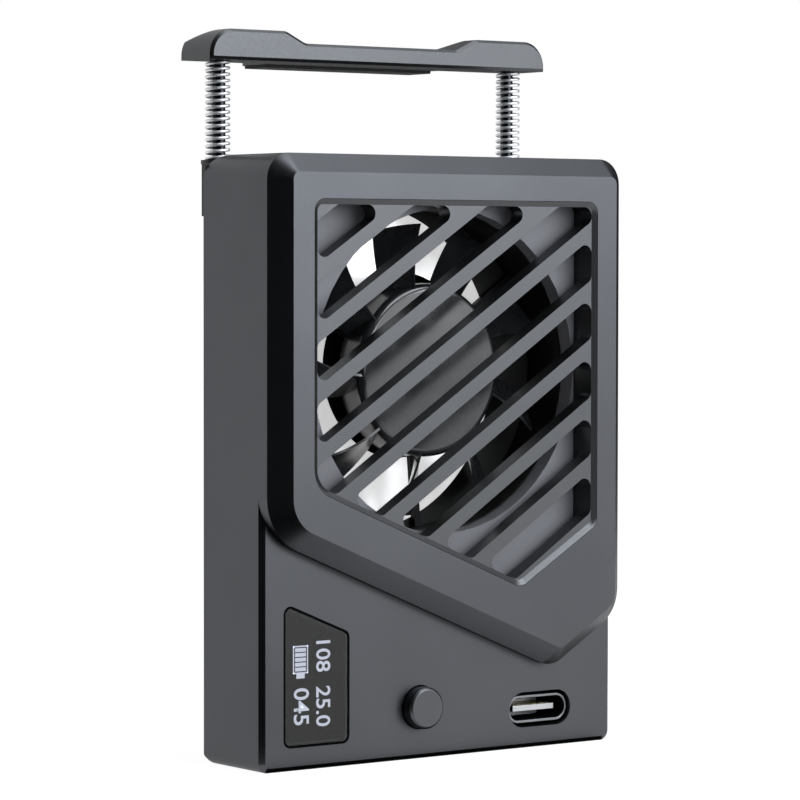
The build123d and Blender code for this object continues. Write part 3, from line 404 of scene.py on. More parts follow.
@dataclass(frozen=True)
class GlassFinish(Finish):
    """Smoked clear cover: glossy, with faint haze and hairline scratches."""

    roughness: float = 0.03

    def build(self, sheet: NodeSheet) -> Material:
        """Fills the sheet.

        Args:
            sheet: Empty node sheet.

        Returns:
            The clear cover.
        """
        haze = sheet.noise(2.5 * MM, detail=1)
        lines = sheet.noise(1.2 * MM, detail=1, stretch=(1.0, 1.0, 0.3))
        return sheet.finish({
            "Base Color": sheet.shades(haze, self.colour, change=0.03),
            "Roughness": sheet.spread(haze, self.roughness, self.roughness + 0.02),
            "IOR": 1.49,
            "Transmission Weight": 1.0,
            "Normal": sheet.bump(lines, depth=0.001 * MM, strength=0.05),
        })


@dataclass(frozen=True)
class GlowFinish(Finish):
    """Lit dots of the display: cool white, slightly uneven from dot to dot."""

    strength: float = 0.8
    dot: float = 0.16 * MM

    def build(self, sheet: NodeSheet) -> Material:
        """Fills the sheet.

        Args:
            sheet: Empty node sheet.

        Returns:
            The lit finish.
        """
        dots = sheet.shades(sheet.noise(self.dot), self.colour, change=0.06)
        return sheet.finish({
            "Base Color": dots,
            "Emission Color": dots,
            "Emission Strength": self.strength,
            "Roughness": sheet.spread(sheet.noise(0.5 * MM), low=0.35, high=0.5),
        })


HOUSING_PAINT = PaintFinish("satin_grey_paint", "housing_paint", linear(80, 81, 84))
GRILLE_PAINT = PaintFinish("grille_grey_paint", "grille_paint", linear(83, 84, 86))
# Painted light: the duct plate has the housing's paint, made lighter and less metallic so that the plate deep
# in the recess looks as brightly lit as the face.
DUCT_PAINT_WITH_PAINTED_LIGHT = PaintFinish("duct_plate_paint_with_painted_light", "housing_paint", linear(112, 112, 116), 0.5, 0.1)
BAR_PAINT = PaintFinish("clamp_bar_grey_paint", "bar_paint", linear(82, 83, 85))
BUTTON_PAINT = PaintFinish("button_grey_paint", "button_plastic", linear(84, 85, 88))
REAR_PLASTIC = PlasticFinish("rear_dark_plastic", "rear_plastic", linear(38, 39, 41), 0.5)
BLACK_PLASTIC = PlasticFinish("matt_black_plastic", "black_plastic", linear(20, 20, 21), 0.5)
FRAME_PLASTIC = PlasticFinish("fan_frame_black_plastic", "black_plastic", linear(16, 16, 17), 0.35,
                              grain=3 * MM, depth=0.002 * MM, specular=0.12)
SHADOW_PLASTIC = PlasticFinish("deep_black_plastic", "black_plastic", linear(9, 9, 10), 0.6,
                               grain=0.4 * MM, depth=0.002 * MM, specular=0.0)
# Painted shade: dark sheet laid where the duct's right wall shades the sink.
PAINTED_SHADE_FILM = PlasticFinish("dark_painted_shade_film", "black_plastic", linear(38, 38, 37), 0.4,
                             grain=2 * MM, depth=0.002 * MM, specular=0.1)
ROTOR_PLASTIC = PlasticFinish("rotor_black_plastic", "rotor_plastic", linear(27, 28, 30), 0.24,
                              grain=4 * MM, depth=0.0004 * MM, specular=0.85)
PLUNGER_PLASTIC = PlasticFinish("natural_white_plastic", "plunger_plastic", linear(222, 221, 214), 0.4)
CERAMIC = PlasticFinish("white_ceramic", "ceramic", linear(228, 228, 224), 0.35,
                        grain=0.1 * MM, depth=0.01 * MM)
SENSOR_EPOXY = PlasticFinish("sensor_epoxy", "sensor_bead", linear(24, 24, 25), 0.2,
                             grain=0.5 * MM, depth=0.01 * MM)
DISPLAY_BLACK = PlasticFinish("display_black", "display", linear(38, 39, 43), 0.3,
                              grain=5 * MM, depth=0.0004 * MM)
TONGUE_STEEL = MetalFinish("socket_tongue_plate", "socket_steel", linear(176, 177, 179), 0.4, Lay.ALONG_X)
SCREW_STEEL = MetalFinish("plated_screw_steel", "screw_steel", linear(176, 175, 173), 0.26)
ROD_STEEL = MetalFinish("blackened_rod_steel", "rod_steel", linear(52, 52, 54), 0.24, Lay.ALONG_Z)
SPRING_STEEL = MetalFinish("bright_spring_wire", "spring_steel", linear(232, 233, 235), 0.5)
SOCKET_STEEL = MetalFinish("satin_socket_steel", "socket_steel", linear(122, 123, 125), 0.4, Lay.ALONG_X)
BRASS = MetalFinish("turned_brass", "bush_brass", linear(196, 168, 108), 0.25)
MAGNET = MetalFinish("sintered_magnet", "magnet", linear(92, 91, 90), 0.5, grain=0.3 * MM, depth=0.02 * MM)
CORE_STEEL = MetalFinish("laminated_core_steel", "core_steel", linear(150, 150, 151), 0.35)
# The heat sink gives off light though it is no lamp: painted light that makes it look brightly lit behind the
# fan.
SINK_ALUMINIUM_PAINTED_GLOW = MetalFinish("sink_aluminium_painted_glow", "bright_aluminium", linear(248, 248, 248), 0.4,
                             grain=1.5 * MM, depth=0.001 * MM, glow=0.6)
PLATE_ALUMINIUM = MetalFinish("brushed_plate_aluminium", "bright_aluminium", linear(214, 215, 216), 0.26,
                              Lay.ALONG_X)
CELL_FOIL = MetalFinish("pouch_foil", "cell_foil", linear(190, 191, 194), 0.3, grain=2 * MM, depth=0.05 * MM)
CONTACT_GOLD = MetalFinish("contact_gold", "socket_steel", linear(220, 200, 150), 0.2)
THERMAL_SILICONE = RubberFinish("soft_thermal_silicone", "soft_pad", linear(108, 110, 114))
GRIP_RUBBER = RubberFinish("grip_rubber", "grip_rubber", linear(26, 26, 27))
BOARD = BoardFinish("green_circuit_board", "circuit_board", linear(20, 78, 48))
LENS = GlassFinish("smoked_lens", "lens", linear(150, 151, 156))
READOUT = GlowFinish("readout_white", "display", linear(225, 230, 242))


class Shaper:
    """Turns points into faces, and faces into pieces that ride on a body."""

    @staticmethod
    def piece(name: str, faces: Sequence[Face], finish: Finish,
              body: Body | None = Body.HOUSING, smooth: float = 32.0) -> bpy.types.Object:
        """Makes one piece.

        Args:
            name: The piece's name.
            faces: Corners of each face; corners in one place are joined.
            finish: What it is made of.
            body: Body that it rides on, or None to leave it on no body.
            smooth: Edges sharper than this angle stay crisp.

        Returns:
            The finished object.
        """
        mesh = bpy.data.meshes.new(name)
        work = bmesh.new()
        for corners in faces:
            work.faces.new([work.verts.new(corner) for corner in corners])
        bmesh.ops.remove_doubles(work, verts=work.verts, dist=WELD)
        bmesh.ops.recalc_face_normals(work, faces=work.faces)
        for face in work.faces:
            face.smooth = True
        for edge in work.edges:
            edge.smooth = len(edge.link_faces) != 2 or edge.calc_face_angle(0.0) < math.radians(smooth)
        work.to_mesh(mesh)
        work.free()
        mesh.materials.append(finish.material())
        piece = show(name, mesh)
        if body is not None:
            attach(piece, body.value)
        LOG.info("built %s", name)
        return piece

    @staticmethod
    def strips(rings: Sequence[Face], closed: bool = True) -> list[Face]:
        """Faces between neighbouring rings of points.

        Args:
            rings: Rings in order, with as many points each.
            closed: Whether each ring's last point joins its first.

        Returns:
            The faces.
        """
        faces = []
        for low, high in zip(rings, rings[1:]):
            for i in range(0 if closed else 1, len(low)):
                faces.append([low[i - 1], low[i], high[i], high[i - 1]])
        return faces

    @staticmethod
    def ring(radius: float, height: float, sides: int) -> list[Vector]:
        """Points of a circle round +z."""
        turns = (2 * math.pi * i / sides for i in range(sides))
        return [Vector((radius * math.cos(a), radius * math.sin(a), height)) for a in turns]

    @staticmethod
    def standing(points: Profile, y: float) -> list[Vector]:
        """Points given by x and z, set at one depth."""
        return [Vector((x, y, z)) for x, z in points]

    @staticmethod
    def lathe(profile: Profile, place: Matrix, sides: int) -> list[Face]:
        """Faces of a profile, given as radius and height of each ring, turned round +z and put in place."""
        return Shaper.strips([[place @ point for point in Shaper.ring(r, h, sides)] for r, h in profile])

    @staticmethod
    def inset(corners: Profile, width: float) -> list[tuple[float, float]]:
        """Moves the sides of a convex outline inwards.

        Args:
            corners: Corners in order, turning left.
            width: Distance that each side moves.

        Returns:
            The new corners.
        """
        moved = []
        for i in range(len(corners)):
            before, here, after = (Vector(corners[k % len(corners)]) for k in (i - 1, i, i + 1))
            first, second = (here - before).normalized(), (after - here).normalized()
            half = (1 + first.dot(second)) / 2
            across = Vector((-first.y, first.x)) + Vector((-second.y, second.x))
            moved.append(tuple(here + across * (width / (2 * half))))
        return moved

    @staticmethod
    def rounded(corners: Profile, radius: float, steps: int = 8) -> list[tuple[float, float]]:
        """Rounds the corners of an outline.

        Args:
            corners: Corners in order, turning left.
            radius: Radius of each corner.
            steps: Number of short sides round each.

        Returns:
            Points of the outline.
        """
        points = []
        for i, corner in enumerate(corners):
            here = Vector(corner)
            to_last = (Vector(corners[i - 1]) - here).normalized()
            to_next = (Vector(corners[(i + 1) % len(corners)]) - here).normalized()
            half = to_last.angle(to_next) / 2
            centre = here + (to_last + to_next).normalized() * (radius / math.sin(half))
            start = here + to_last * (radius / math.tan(half)) - centre
            for k in range(steps + 1):
                turn = Matrix.Rotation((math.pi - 2 * half) * k / steps, 2)
                points.append(tuple(centre + turn @ start))
        return points

    @staticmethod
    def plate(outline: Profile, place: Matrix, height: float, bevel: float) -> list[Face]:
        """Plate of one outline with a small bevel round its top.

        Args:
            outline: Corners in order.
            place: Where it goes; the plate rises along +z.
            height: Its thickness.
            bevel: Width of the bevel.

        Returns:
            The faces.
        """
        centre = sum((Vector(corner) for corner in outline), Vector((0, 0))) / len(outline)
        aways = [Vector(corner) - centre for corner in outline]
        inner = [centre + away * (1 - bevel / away.length) for away in aways]
        levels = [(outline, 0.0), (outline, height - bevel), (inner, height)]
        rings = [[place @ Vector((*point, z)) for point in points] for points, z in levels]
        return Shaper.strips(rings) + [rings[0], rings[-1]]

    @staticmethod
    def wire(path: Sequence[Vector], radius: float, sides: int = 10) -> list[Face]:
        """Round wire along a path, with flat ends.

        Args:
            path: Points along the wire's middle.
            radius: The wire's radius.
            sides: Number of facets round it.

        Returns:
            The faces.
        """
        rings = []
        circle = Shaper.ring(radius, 0.0, sides)
        for i, point in enumerate(path):
            ahead = path[min(i + 1, len(path) - 1)] - path[max(i - 1, 0)]
            side = ahead.cross(Vector((0, 0, 1))).normalized()
            other = side.cross(ahead).normalized()
            rings.append([point + side * spot.x + other * spot.y for spot in circle])
        return Shaper.strips(rings) + [rings[0], rings[-1]]


def node(name: str) -> bpy.types.Object:
    """The CAD node of that name."""
    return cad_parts[name]


def middle(name: str) -> Vector:
    """Middle of a CAD node's box."""
    low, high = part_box(name)
    return (low + high) / 2


def solid_boxes(name: str) -> list[tuple[Vector, Vector]]:
    """Boxes of the separate solids in a CAD node.

    Args:
        name: The node.

    Returns:
        Lowest and highest corner of each solid.
    """
    work = bmesh.new()
    work.from_mesh(node(name).data)
    bmesh.ops.remove_doubles(work, verts=work.verts, dist=WELD)
    left = set(work.verts)
    boxes = []
    while left:
        group, edge = set(), [left.pop()]
        while edge:
            vert = edge.pop()
            group.add(vert)
            near = [e.other_vert(vert) for e in vert.link_edges]
            edge += [v for v in near if v in left]
            left.difference_update(near)
        boxes.append(tuple(Vector(pick(v.co[i] for v in group) for i in range(3)) for pick in (min, max)))
    work.free()
    return boxes


def dress(name: str, finish: Finish, soften: float = 0.0) -> None:
    """Gives a CAD node its finish, and softens its edges.

    Args:
        name: The node.
        finish: What it is made of.
        soften: Width of the small bevel along its edges, or 0 to leave them.
    """
    piece = node(name)
    piece.data.materials.clear()
    piece.data.materials.append(finish.material())
    if soften:
        weld = piece.modifiers.new("weld", "WELD")
        weld.merge_threshold = WELD
        flats = piece.modifiers.new("whole_flats", "DECIMATE")
        flats.decimate_type = "DISSOLVE"
        flats.angle_limit = math.radians(FLAT_WITHIN)
        bevel = piece.modifiers.new("soft_edges", "BEVEL")
        bevel.width = soften
        bevel.segments = 2
        bevel.limit_method = "ANGLE"
        bevel.angle_limit = math.radians(BEVEL_FROM)
        bevel.face_strength_mode = "FSTR_ALL"
        normals = piece.modifiers.new("even_shading", "WEIGHTED_NORMAL")
        normals.weight = 100
        normals.use_face_influence = True
    LOG.info("dressed %s in %s", name, finish.name)


@dataclass
class ScrewSet:
    """Identical screws that stand for one CAD node of screws."""

    node: str
    body: Body
    head_side: Axis
    head_r: float = 1.4 * MM
    head_h: float = 0.9 * MM
    shank_r: float = 0.8 * MM
    drive: Drive = Drive.CROSS
    sides: int = 32

    def build(self) -> None:
        """Builds every screw of the set in its place and lets them stand for the CAD's."""
        faces = [face for low, high in solid_boxes(self.node) for face in self.screw(low, high)]
        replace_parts(Shaper.piece(f"{self.node}_round", faces, SCREW_STEEL, self.body), self.node)

    def screw(self, low: Vector, high: Vector) -> list[Face]:
        """One screw: rounded head, recess and shank.

        Args:
            low: Lowest corner of the CAD screw.
            high: Its highest corner.

        Returns:
            The faces.
        """
        ahead = self.head_side.turn() @ Vector((0, 0, 1))
        length = abs((high - low).dot(ahead))
        place = Matrix.Translation((low + high + ahead * length) / 2) @ self.head_side.turn()
        r, h, shank_r = self.head_r, self.head_h, self.shank_r
        well = 0.42 * r
        recess = [(0, -0.45 * h), (0.55 * well, -0.45 * h), (well, -0.02 * h), (1.25 * well, 0.0)]
        head = [(0.7 * r, -0.06 * h), (0.9 * r, -0.2 * h), (0.98 * r, -0.42 * h), (r, -0.7 * h), (r, -h)]
        shank = [(shank_r, -h), (shank_r, 0.6 * shank_r - length), (0.5 * shank_r, -length), (0, -length)]
        rings = []
        for profile, corners in ((recess, self.drive.value), (head + shank, self.sides)):
            for radius, height in profile:
                ring = Shaper.ring(radius, height, corners)
                nearest = (round(i * corners / self.sides) % corners for i in range(self.sides))
                rings.append([place @ ring[k] for k in nearest])
        return Shaper.strips(rings)


@dataclass
class Housing:
    """Painted shell with its grille and duct plate, rear cover and fixed jaw."""

    edge: float = 0.14 * MM
    fine_edge: float = 0.09 * MM

    def build(self) -> None:
        """Dresses the shells and builds their screws."""
        dress("front_shell", HOUSING_PAINT, self.edge)
        dress("grille", GRILLE_PAINT, self.fine_edge)
        # The duct plate's lighter copy of the housing paint is painted light.
        dress("fan_shroud", DUCT_PAINT_WITH_PAINTED_LIGHT)
        dress("rear_cover", REAR_PLASTIC, self.edge)
        dress("lower_jaw", REAR_PLASTIC, self.edge)
        dress("lower_jaw_pad", GRIP_RUBBER, self.fine_edge)
        ScrewSet("cover_screws", Body.HOUSING, Axis.REAR).build()
        ScrewSet("jaw_screws", Body.HOUSING, Axis.DOWN).build()


@dataclass
class Fan:
    """Axial fan: frame, motor and the turning hub with its nine swept blades."""

    frame_edge: float = 0.08 * MM
    screw_edge: float = 0.06 * MM
    hub_r: float = 10.2 * MM
    hub_wall: float = 0.8 * MM
    hub_floor: float = 1.0 * MM
    hub_sides: int = 96
    edge_r: float = 0.9 * MM
    edge_steps: int = 6
    crown: float = 0.12 * MM
    blades: int = 9
    tip_r: float = 17.2 * MM
    blade_setback: float = 0.25 * MM
    tip_setback: float = 0.15 * MM
    blade_depth: float = 3.6 * MM
    depth_loss: float = 0.06
    blade_t: float = 0.5 * MM
    camber: float = 0.13
    sweep_power: float = 1.15
    front_edge: tuple[float, float] = (22.5, 14.0)
    rear_edge: tuple[float, float] = (36.0, 29.5)
    along: int = 12
    across: int = 8

    def build(self) -> None:
        """Dresses the fixed pieces and builds the rotor."""
        dress("fan_frame", FRAME_PLASTIC, self.frame_edge)
        dress("stator", CORE_STEEL)
        dress("bearing", BRASS)
        dress("fan_board", BOARD)
        dress("rotor_shaft", SCREW_STEEL)
        dress("magnet_ring", MAGNET)
        dress("fan_screws", SCREW_STEEL, self.screw_edge)
        self.rotor()

    def rotor(self) -> None:
        """Builds the hub cup and its blades as one moulding."""
        low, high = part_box("fan_rotor")
        shaft = middle("rotor_shaft")
        front = Vector((shaft.x, low.y, shaft.z))
        faces = self.hub(front, high.y - low.y)
        for i in range(self.blades):
            faces += self.blade(front, math.radians(360 / self.blades * i))
        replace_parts(Shaper.piece("rotor_moulding", faces, ROTOR_PLASTIC, Body.ROTOR, smooth=40), "fan_rotor")

    def hub(self, front: Vector, depth: float) -> list[Face]:
        """Cup with a rounded edge and a slightly crowned face.

        Args:
            front: Middle of the hub's front.
            depth: Length of the cup.

        Returns:
            The faces.
        """
        r, e, crown = self.hub_r, self.edge_r, self.crown
        inner = r - self.hub_wall
        face = [(0.0, 0.0), (0.35 * r, 0.15 * crown), (0.7 * r, 0.6 * crown), (r - e - 0.02 * MM, crown)]
        turns = [math.radians(90 * i / self.edge_steps) for i in range(self.edge_steps + 1)]
        edge = [(r - e + e * math.sin(a), crown + e - e * math.cos(a)) for a in turns]
        cup = [(r, depth), (inner, depth), (inner, self.hub_floor), (0.0, self.hub_floor)]
        return Shaper.lathe(face + edge + cup, Matrix.Translation(front) @ Axis.REAR.turn(), self.hub_sides)

    def blade_point(self, u: float, v: float, start: float) -> Vector:
        """Point of a blade's middle surface, from the middle of the hub's front.

        Args:
            u: Share of the way from root to tip.
            v: Share of the way from front edge to rear edge.
            start: Angle in radians by which the blade follows the first.

        Returns:
            The point.
        """
        root_r = self.hub_r - 0.5 * self.hub_wall
        radius = root_r + (self.tip_r - root_r) * u
        ahead, behind = (root + (tip - root) * u ** self.sweep_power
                         for root, tip in (self.front_edge, self.rear_edge))
        angle = start + math.radians(ahead + (behind - ahead) * v)
        hollow = min(v + self.camber * math.sin(math.pi * v), 1.05)
        chord = self.blade_depth * (1 - self.depth_loss * u)
        depth = self.blade_setback + chord * hollow + self.tip_setback * u
        return Vector((radius * math.cos(angle), depth, radius * math.sin(angle)))

    def blade(self, front: Vector, start: float) -> list[Face]:
        """Thin swept, twisted and hollowed blade.

        Args:
            front: Middle of the hub's front.
            start: Angle in radians by which this blade follows the first.

        Returns:
            The faces.
        """
        step = 1e-3
        rings, caps = [], []
        for i in range(self.along + 1):
            u = i / self.along
            under, over = [], []
            for j in range(self.across + 1):
                v = j / self.across
                u_end, v_end = min(u + step, 1), min(v + step, 1)
                outwards = self.blade_point(u_end, v, start) - self.blade_point(u_end - step, v, start)
                rearwards = self.blade_point(u, v_end, start) - self.blade_point(u, v_end - step, start)
                half = 0.5 * self.blade_t * (0.35 + 0.65 * math.sin(math.pi * (0.12 + 0.76 * v)))
                normal = outwards.cross(rearwards).normalized()
                spot = front + self.blade_point(u, v, start)
                under.append(spot - half * normal)
                over.append(spot + half * normal)
            rings.append(under + over[::-1])
            if i in (0, self.along):
                caps += Shaper.strips([under, over], closed=False)
        return Shaper.strips(rings) + caps


@dataclass
class CoolingStack:
    """Heat sink, thermoelectric module, cold plate and the pad that the phone touches."""

    edge: float = 0.08 * MM
    fan_x: float = 0.8 * MM
    # Place and size of the dark sheet that paints the duct wall's shade on the sink.
    painted_shade_film_y: float = -1.35 * MM
    painted_shade_film_x: float = -5.11 * MM
    painted_shade_film_z: float = 45.29 * MM
    painted_shade_film_r: float = 19.15 * MM
    painted_shade_film_outer_r: float = 20.5 * MM
    painted_shade_film_span: tuple[float, float] = (-100.0, 75.0)
    painted_shade_film_steps: int = 60
    spare: float = 0.2 * MM
    label_x: float = 0.1 * MM
    label_z: float = 45.55 * MM
    label_r: float = 11.0 * MM
    label_sides: int = 72

    def build(self) -> None:
        """Dresses the stack from the fins to the pad, and lays the dark sheet of painted shade and the label.
        """
        # The sink's finish gives off painted light.
        dress("heat_sink", SINK_ALUMINIUM_PAINTED_GLOW)
        self.painted_shade_film()
        self.label()
        dress("thermoelectric_module", CERAMIC)
        dress("cold_plate", PLATE_ALUMINIUM)
        dress("thermal_pad", THERMAL_SILICONE, self.edge)
        dress("temperature_sensor", SENSOR_EPOXY)
        ScrewSet("plate_screws", Body.HOUSING, Axis.REAR).build()

    def painted_shade_film(self) -> None:
        """Dark crescent sheet between the fan's frame and the sink, along the right of the duct: painted shade
        where the duct's right wall shades the sink.
        """
        low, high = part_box("fan_frame")
        start, end = self.painted_shade_film_span
        cut_out, edge = [], []
        for i in range(self.painted_shade_film_steps + 1):
            angle = math.radians(start + (end - start) * i / self.painted_shade_film_steps)
            out = Vector((math.cos(angle), math.sin(angle)))
            cut_out.append(Vector((self.painted_shade_film_x, self.painted_shade_film_z)) + out * self.painted_shade_film_r)
            outer = Vector((self.fan_x, (low.z + high.z) / 2)) + out * self.painted_shade_film_outer_r
            edge.append((min(outer.x, high.x - self.spare),
                         min(max(outer.y, low.z + self.spare), high.z - self.spare)))
        faces = Shaper.strips([Shaper.standing(line, self.painted_shade_film_y) for line in (cut_out, edge)], closed=False)
        # Painted shade: this dark sheet stands where the duct's right wall shades the bright sink.
        Shaper.piece("sink_dark_painted_shade_film", faces, PAINTED_SHADE_FILM)

    def label(self) -> None:
        """Round black label on the rear of the fan's motor base, a little wider than the hub."""
        circle = Shaper.ring(self.label_r, 0.0, self.label_sides)
        disc = [Vector((self.label_x + spot.x, self.painted_shade_film_y, self.label_z + spot.y)) for spot in circle]
        Shaper.piece("motor_base_label", [disc], SHADOW_PLASTIC)


@dataclass
class Clamp:
    """Sprung bar on two rods, with its hook, pad, coil springs, bushes and stops."""

    edge: float = 0.16 * MM
    pad_edge: float = 0.08 * MM
    bush_edge: float = 0.06 * MM
    wire_r: float = 0.19 * MM
    coil_r: float = 1.3 * MM
    coil_x: float = 21.38 * MM
    turns: float = 16.3
    flat_turns: float = 0.5
    foot_z: float = 69.5 * MM
    top_z: float = 81.0 * MM
    steps: int = 28

    def build(self) -> None:
        """Dresses the bar and rods, and winds the springs."""
        dress("clamp_bar", BAR_PAINT, self.edge)
        dress("clamp_pad", GRIP_RUBBER, self.pad_edge)
        dress("left_rod", ROD_STEEL)
        dress("right_rod", ROD_STEEL)
        dress("rod_stop_rings", SCREW_STEEL)
        dress("guide_bushes", BLACK_PLASTIC, self.bush_edge)
        ScrewSet("bar_screws", Body.CLAMP, Axis.UP, 1.1 * MM, 0.7 * MM, 0.4 * MM, Drive.HEXAGON).build()
        for side in ("left", "right"):
            self.spring(side)

    def spring(self, side: str) -> None:
        """Winds one coil spring with closed ends, which runs from the housing up to the bar.

        Args:
            side: Left or right.
        """
        centre = middle(f"{side}_spring")
        centre.x = math.copysign(self.coil_x, centre.x)
        count = int(self.turns * self.steps)
        foot, top = self.foot_z + self.wire_r, self.top_z - self.wire_r
        path = []
        for i in range(count + 1):
            turn = self.turns * i / count
            rise = min(max((turn - self.flat_turns) / (self.turns - 2 * self.flat_turns), 0.0), 1.0)
            angle = 2 * math.pi * turn
            x, y = centre.x + self.coil_r * math.cos(angle), centre.y + self.coil_r * math.sin(angle)
            path.append(Vector((x, y, foot + (top - foot) * rise)))
        wire = Shaper.wire(path, self.wire_r)
        coil = Shaper.piece(f"{side}_coil_spring", wire, SPRING_STEEL, None, smooth=60)
        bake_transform(coil)
        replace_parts(coil, f"{side}_spring")


@dataclass
class Controls:
    """Push button with its switch."""

    edge: float = 0.08 * MM

    def build(self) -> None:
        """Dresses the button, its plunger and the switch."""
        dress("button_cap", BUTTON_PAINT, self.edge)
        dress("switch_plunger", PLUNGER_PLASTIC)
        dress("tactile_switch", BLACK_PLASTIC)


@dataclass
class Display:
    """Smoked window over a small display that shows plain numbers and a charge sign."""

    glyph_proud: float = 0.02 * MM
    glyph_weight: float = 0.035 * MM
    column_x: tuple[float, float] = (-19.8 * MM, -16.75 * MM)
    upper_text: str = "108  25.0"
    lower_text: str = "045"
    upper_size: float = 2.75 * MM
    lower_size: float = 2.95 * MM
    upper_top_z: float = 15.1 * MM
    lower_top_z: float = 9.4 * MM
    cell_top_z: float = 14.2 * MM
    cell_length: float = 3.2 * MM
    cell_width: float = 2.1 * MM
    cell_line: float = 0.16 * MM
    cell_bars: int = 5
    bar_gap: float = 0.12 * MM
    bar_inset: float = 0.3 * MM
    nose_length: float = 0.55 * MM
    nose_share: float = 0.55
    corners: Profile = ((-22.5 * MM, 2.7 * MM), (-13.4 * MM, 2.7 * MM), (-13.4 * MM, 15.4 * MM),
                        (-22.5 * MM, 19.2 * MM))
    corner_r: float = 0.9 * MM
    gasket_w: float = 0.24 * MM
    gasket_proud: float = 0.02 * MM
    gasket_depth: float = 0.04 * MM

    def build(self) -> None:
        """Dresses the window and module, lights the readout and lays the gasket."""
        dress("display_window", LENS)
        dress("display_module", DISPLAY_BLACK)
        self.gasket()
        face_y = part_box("display_module")[0].y - self.glyph_proud
        lower_x, upper_x = self.column_x
        self.numbers("readout_upper", self.upper_text, (upper_x, face_y, self.upper_top_z), self.upper_size)
        self.numbers("readout_lower", self.lower_text, (lower_x, face_y, self.lower_top_z), self.lower_size)
        self.charge_sign(face_y)

    def gasket(self) -> None:
        """Black seal round the window's edge: its flat face with an inner and an outer lip."""
        face_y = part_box("display_window")[0].y
        outer = Shaper.rounded(self.corners, self.corner_r)
        inner = Shaper.rounded(Shaper.inset(self.corners, self.gasket_w), self.corner_r - self.gasket_w)
        front, back = face_y - self.gasket_proud, face_y + self.gasket_depth
        levels = [(outer, back), (outer, front), (inner, front), (inner, back), (outer, back)]
        faces = Shaper.strips([Shaper.standing(points, y) for points, y in levels])
        Shaper.piece("display_gasket", faces, SHADOW_PLASTIC)

    def numbers(self, name: str, text: str, start: Place, size: float) -> None:
        """Row of plain lit digits that reads downwards.

        Args:
            name: The piece's name.
            text: Digits to show.
            start: Where the row starts, at the middle of its width.
            size: Height of the type.
        """
        curve = bpy.data.curves.new(name, "FONT")
        curve.body = text
        curve.size = size
        curve.align_y = "CENTER"
        curve.offset = self.glyph_weight
        curve.resolution_u = 3
        holder = show(f"{name}_type", curve)
        bpy.context.view_layer.update()
        mesh = bpy.data.meshes.new_from_object(holder.evaluated_get(bpy.context.evaluated_depsgraph_get()))
        bpy.data.objects.remove(holder)
        bpy.data.curves.remove(curve)
        upright, downwards = Matrix.Rotation(math.pi / 2, 4, "X"), Matrix.Rotation(-math.pi / 2, 4, "Z")
        mesh.transform(Matrix.Translation(start) @ upright @ downwards)
        mesh.materials.clear()
        mesh.materials.append(READOUT.material())
        row = show(name, mesh)
        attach(row, Body.HOUSING.value)
        LOG.info("built %s", name)

    def charge_sign(self, y: float) -> None:
        """Cell outline with its level bars, lying along z.

        Args:
            y: Depth at which it lies.
        """
        x, top, half = self.column_x[0], self.cell_top_z, self.cell_width / 2
        line, gap = self.cell_line, self.bar_gap
        foot = top - self.cell_length
        nose, reach = half * self.nose_share, half - self.bar_inset
        boxes = [(x - half, foot, x - half + line, top), (x + half - line, foot, x + half, top),
                 (x - half, top - line, x + half, top), (x - half, foot, x + half, foot + line),
                 (x - nose, foot - self.nose_length, x + nose, foot)]
        pitch = (self.cell_length - 2 * line - gap) / self.cell_bars
        for i in range(self.cell_bars):
            low = foot + line + gap + i * pitch
            boxes.append((x - reach, low, x + reach, low + pitch - gap))
        faces = [Shaper.standing(((left, low), (right, low), (right, high), (left, high)), y)
                 for left, low, right, high in boxes]
        Shaper.piece("readout_charge_sign", faces, READOUT)


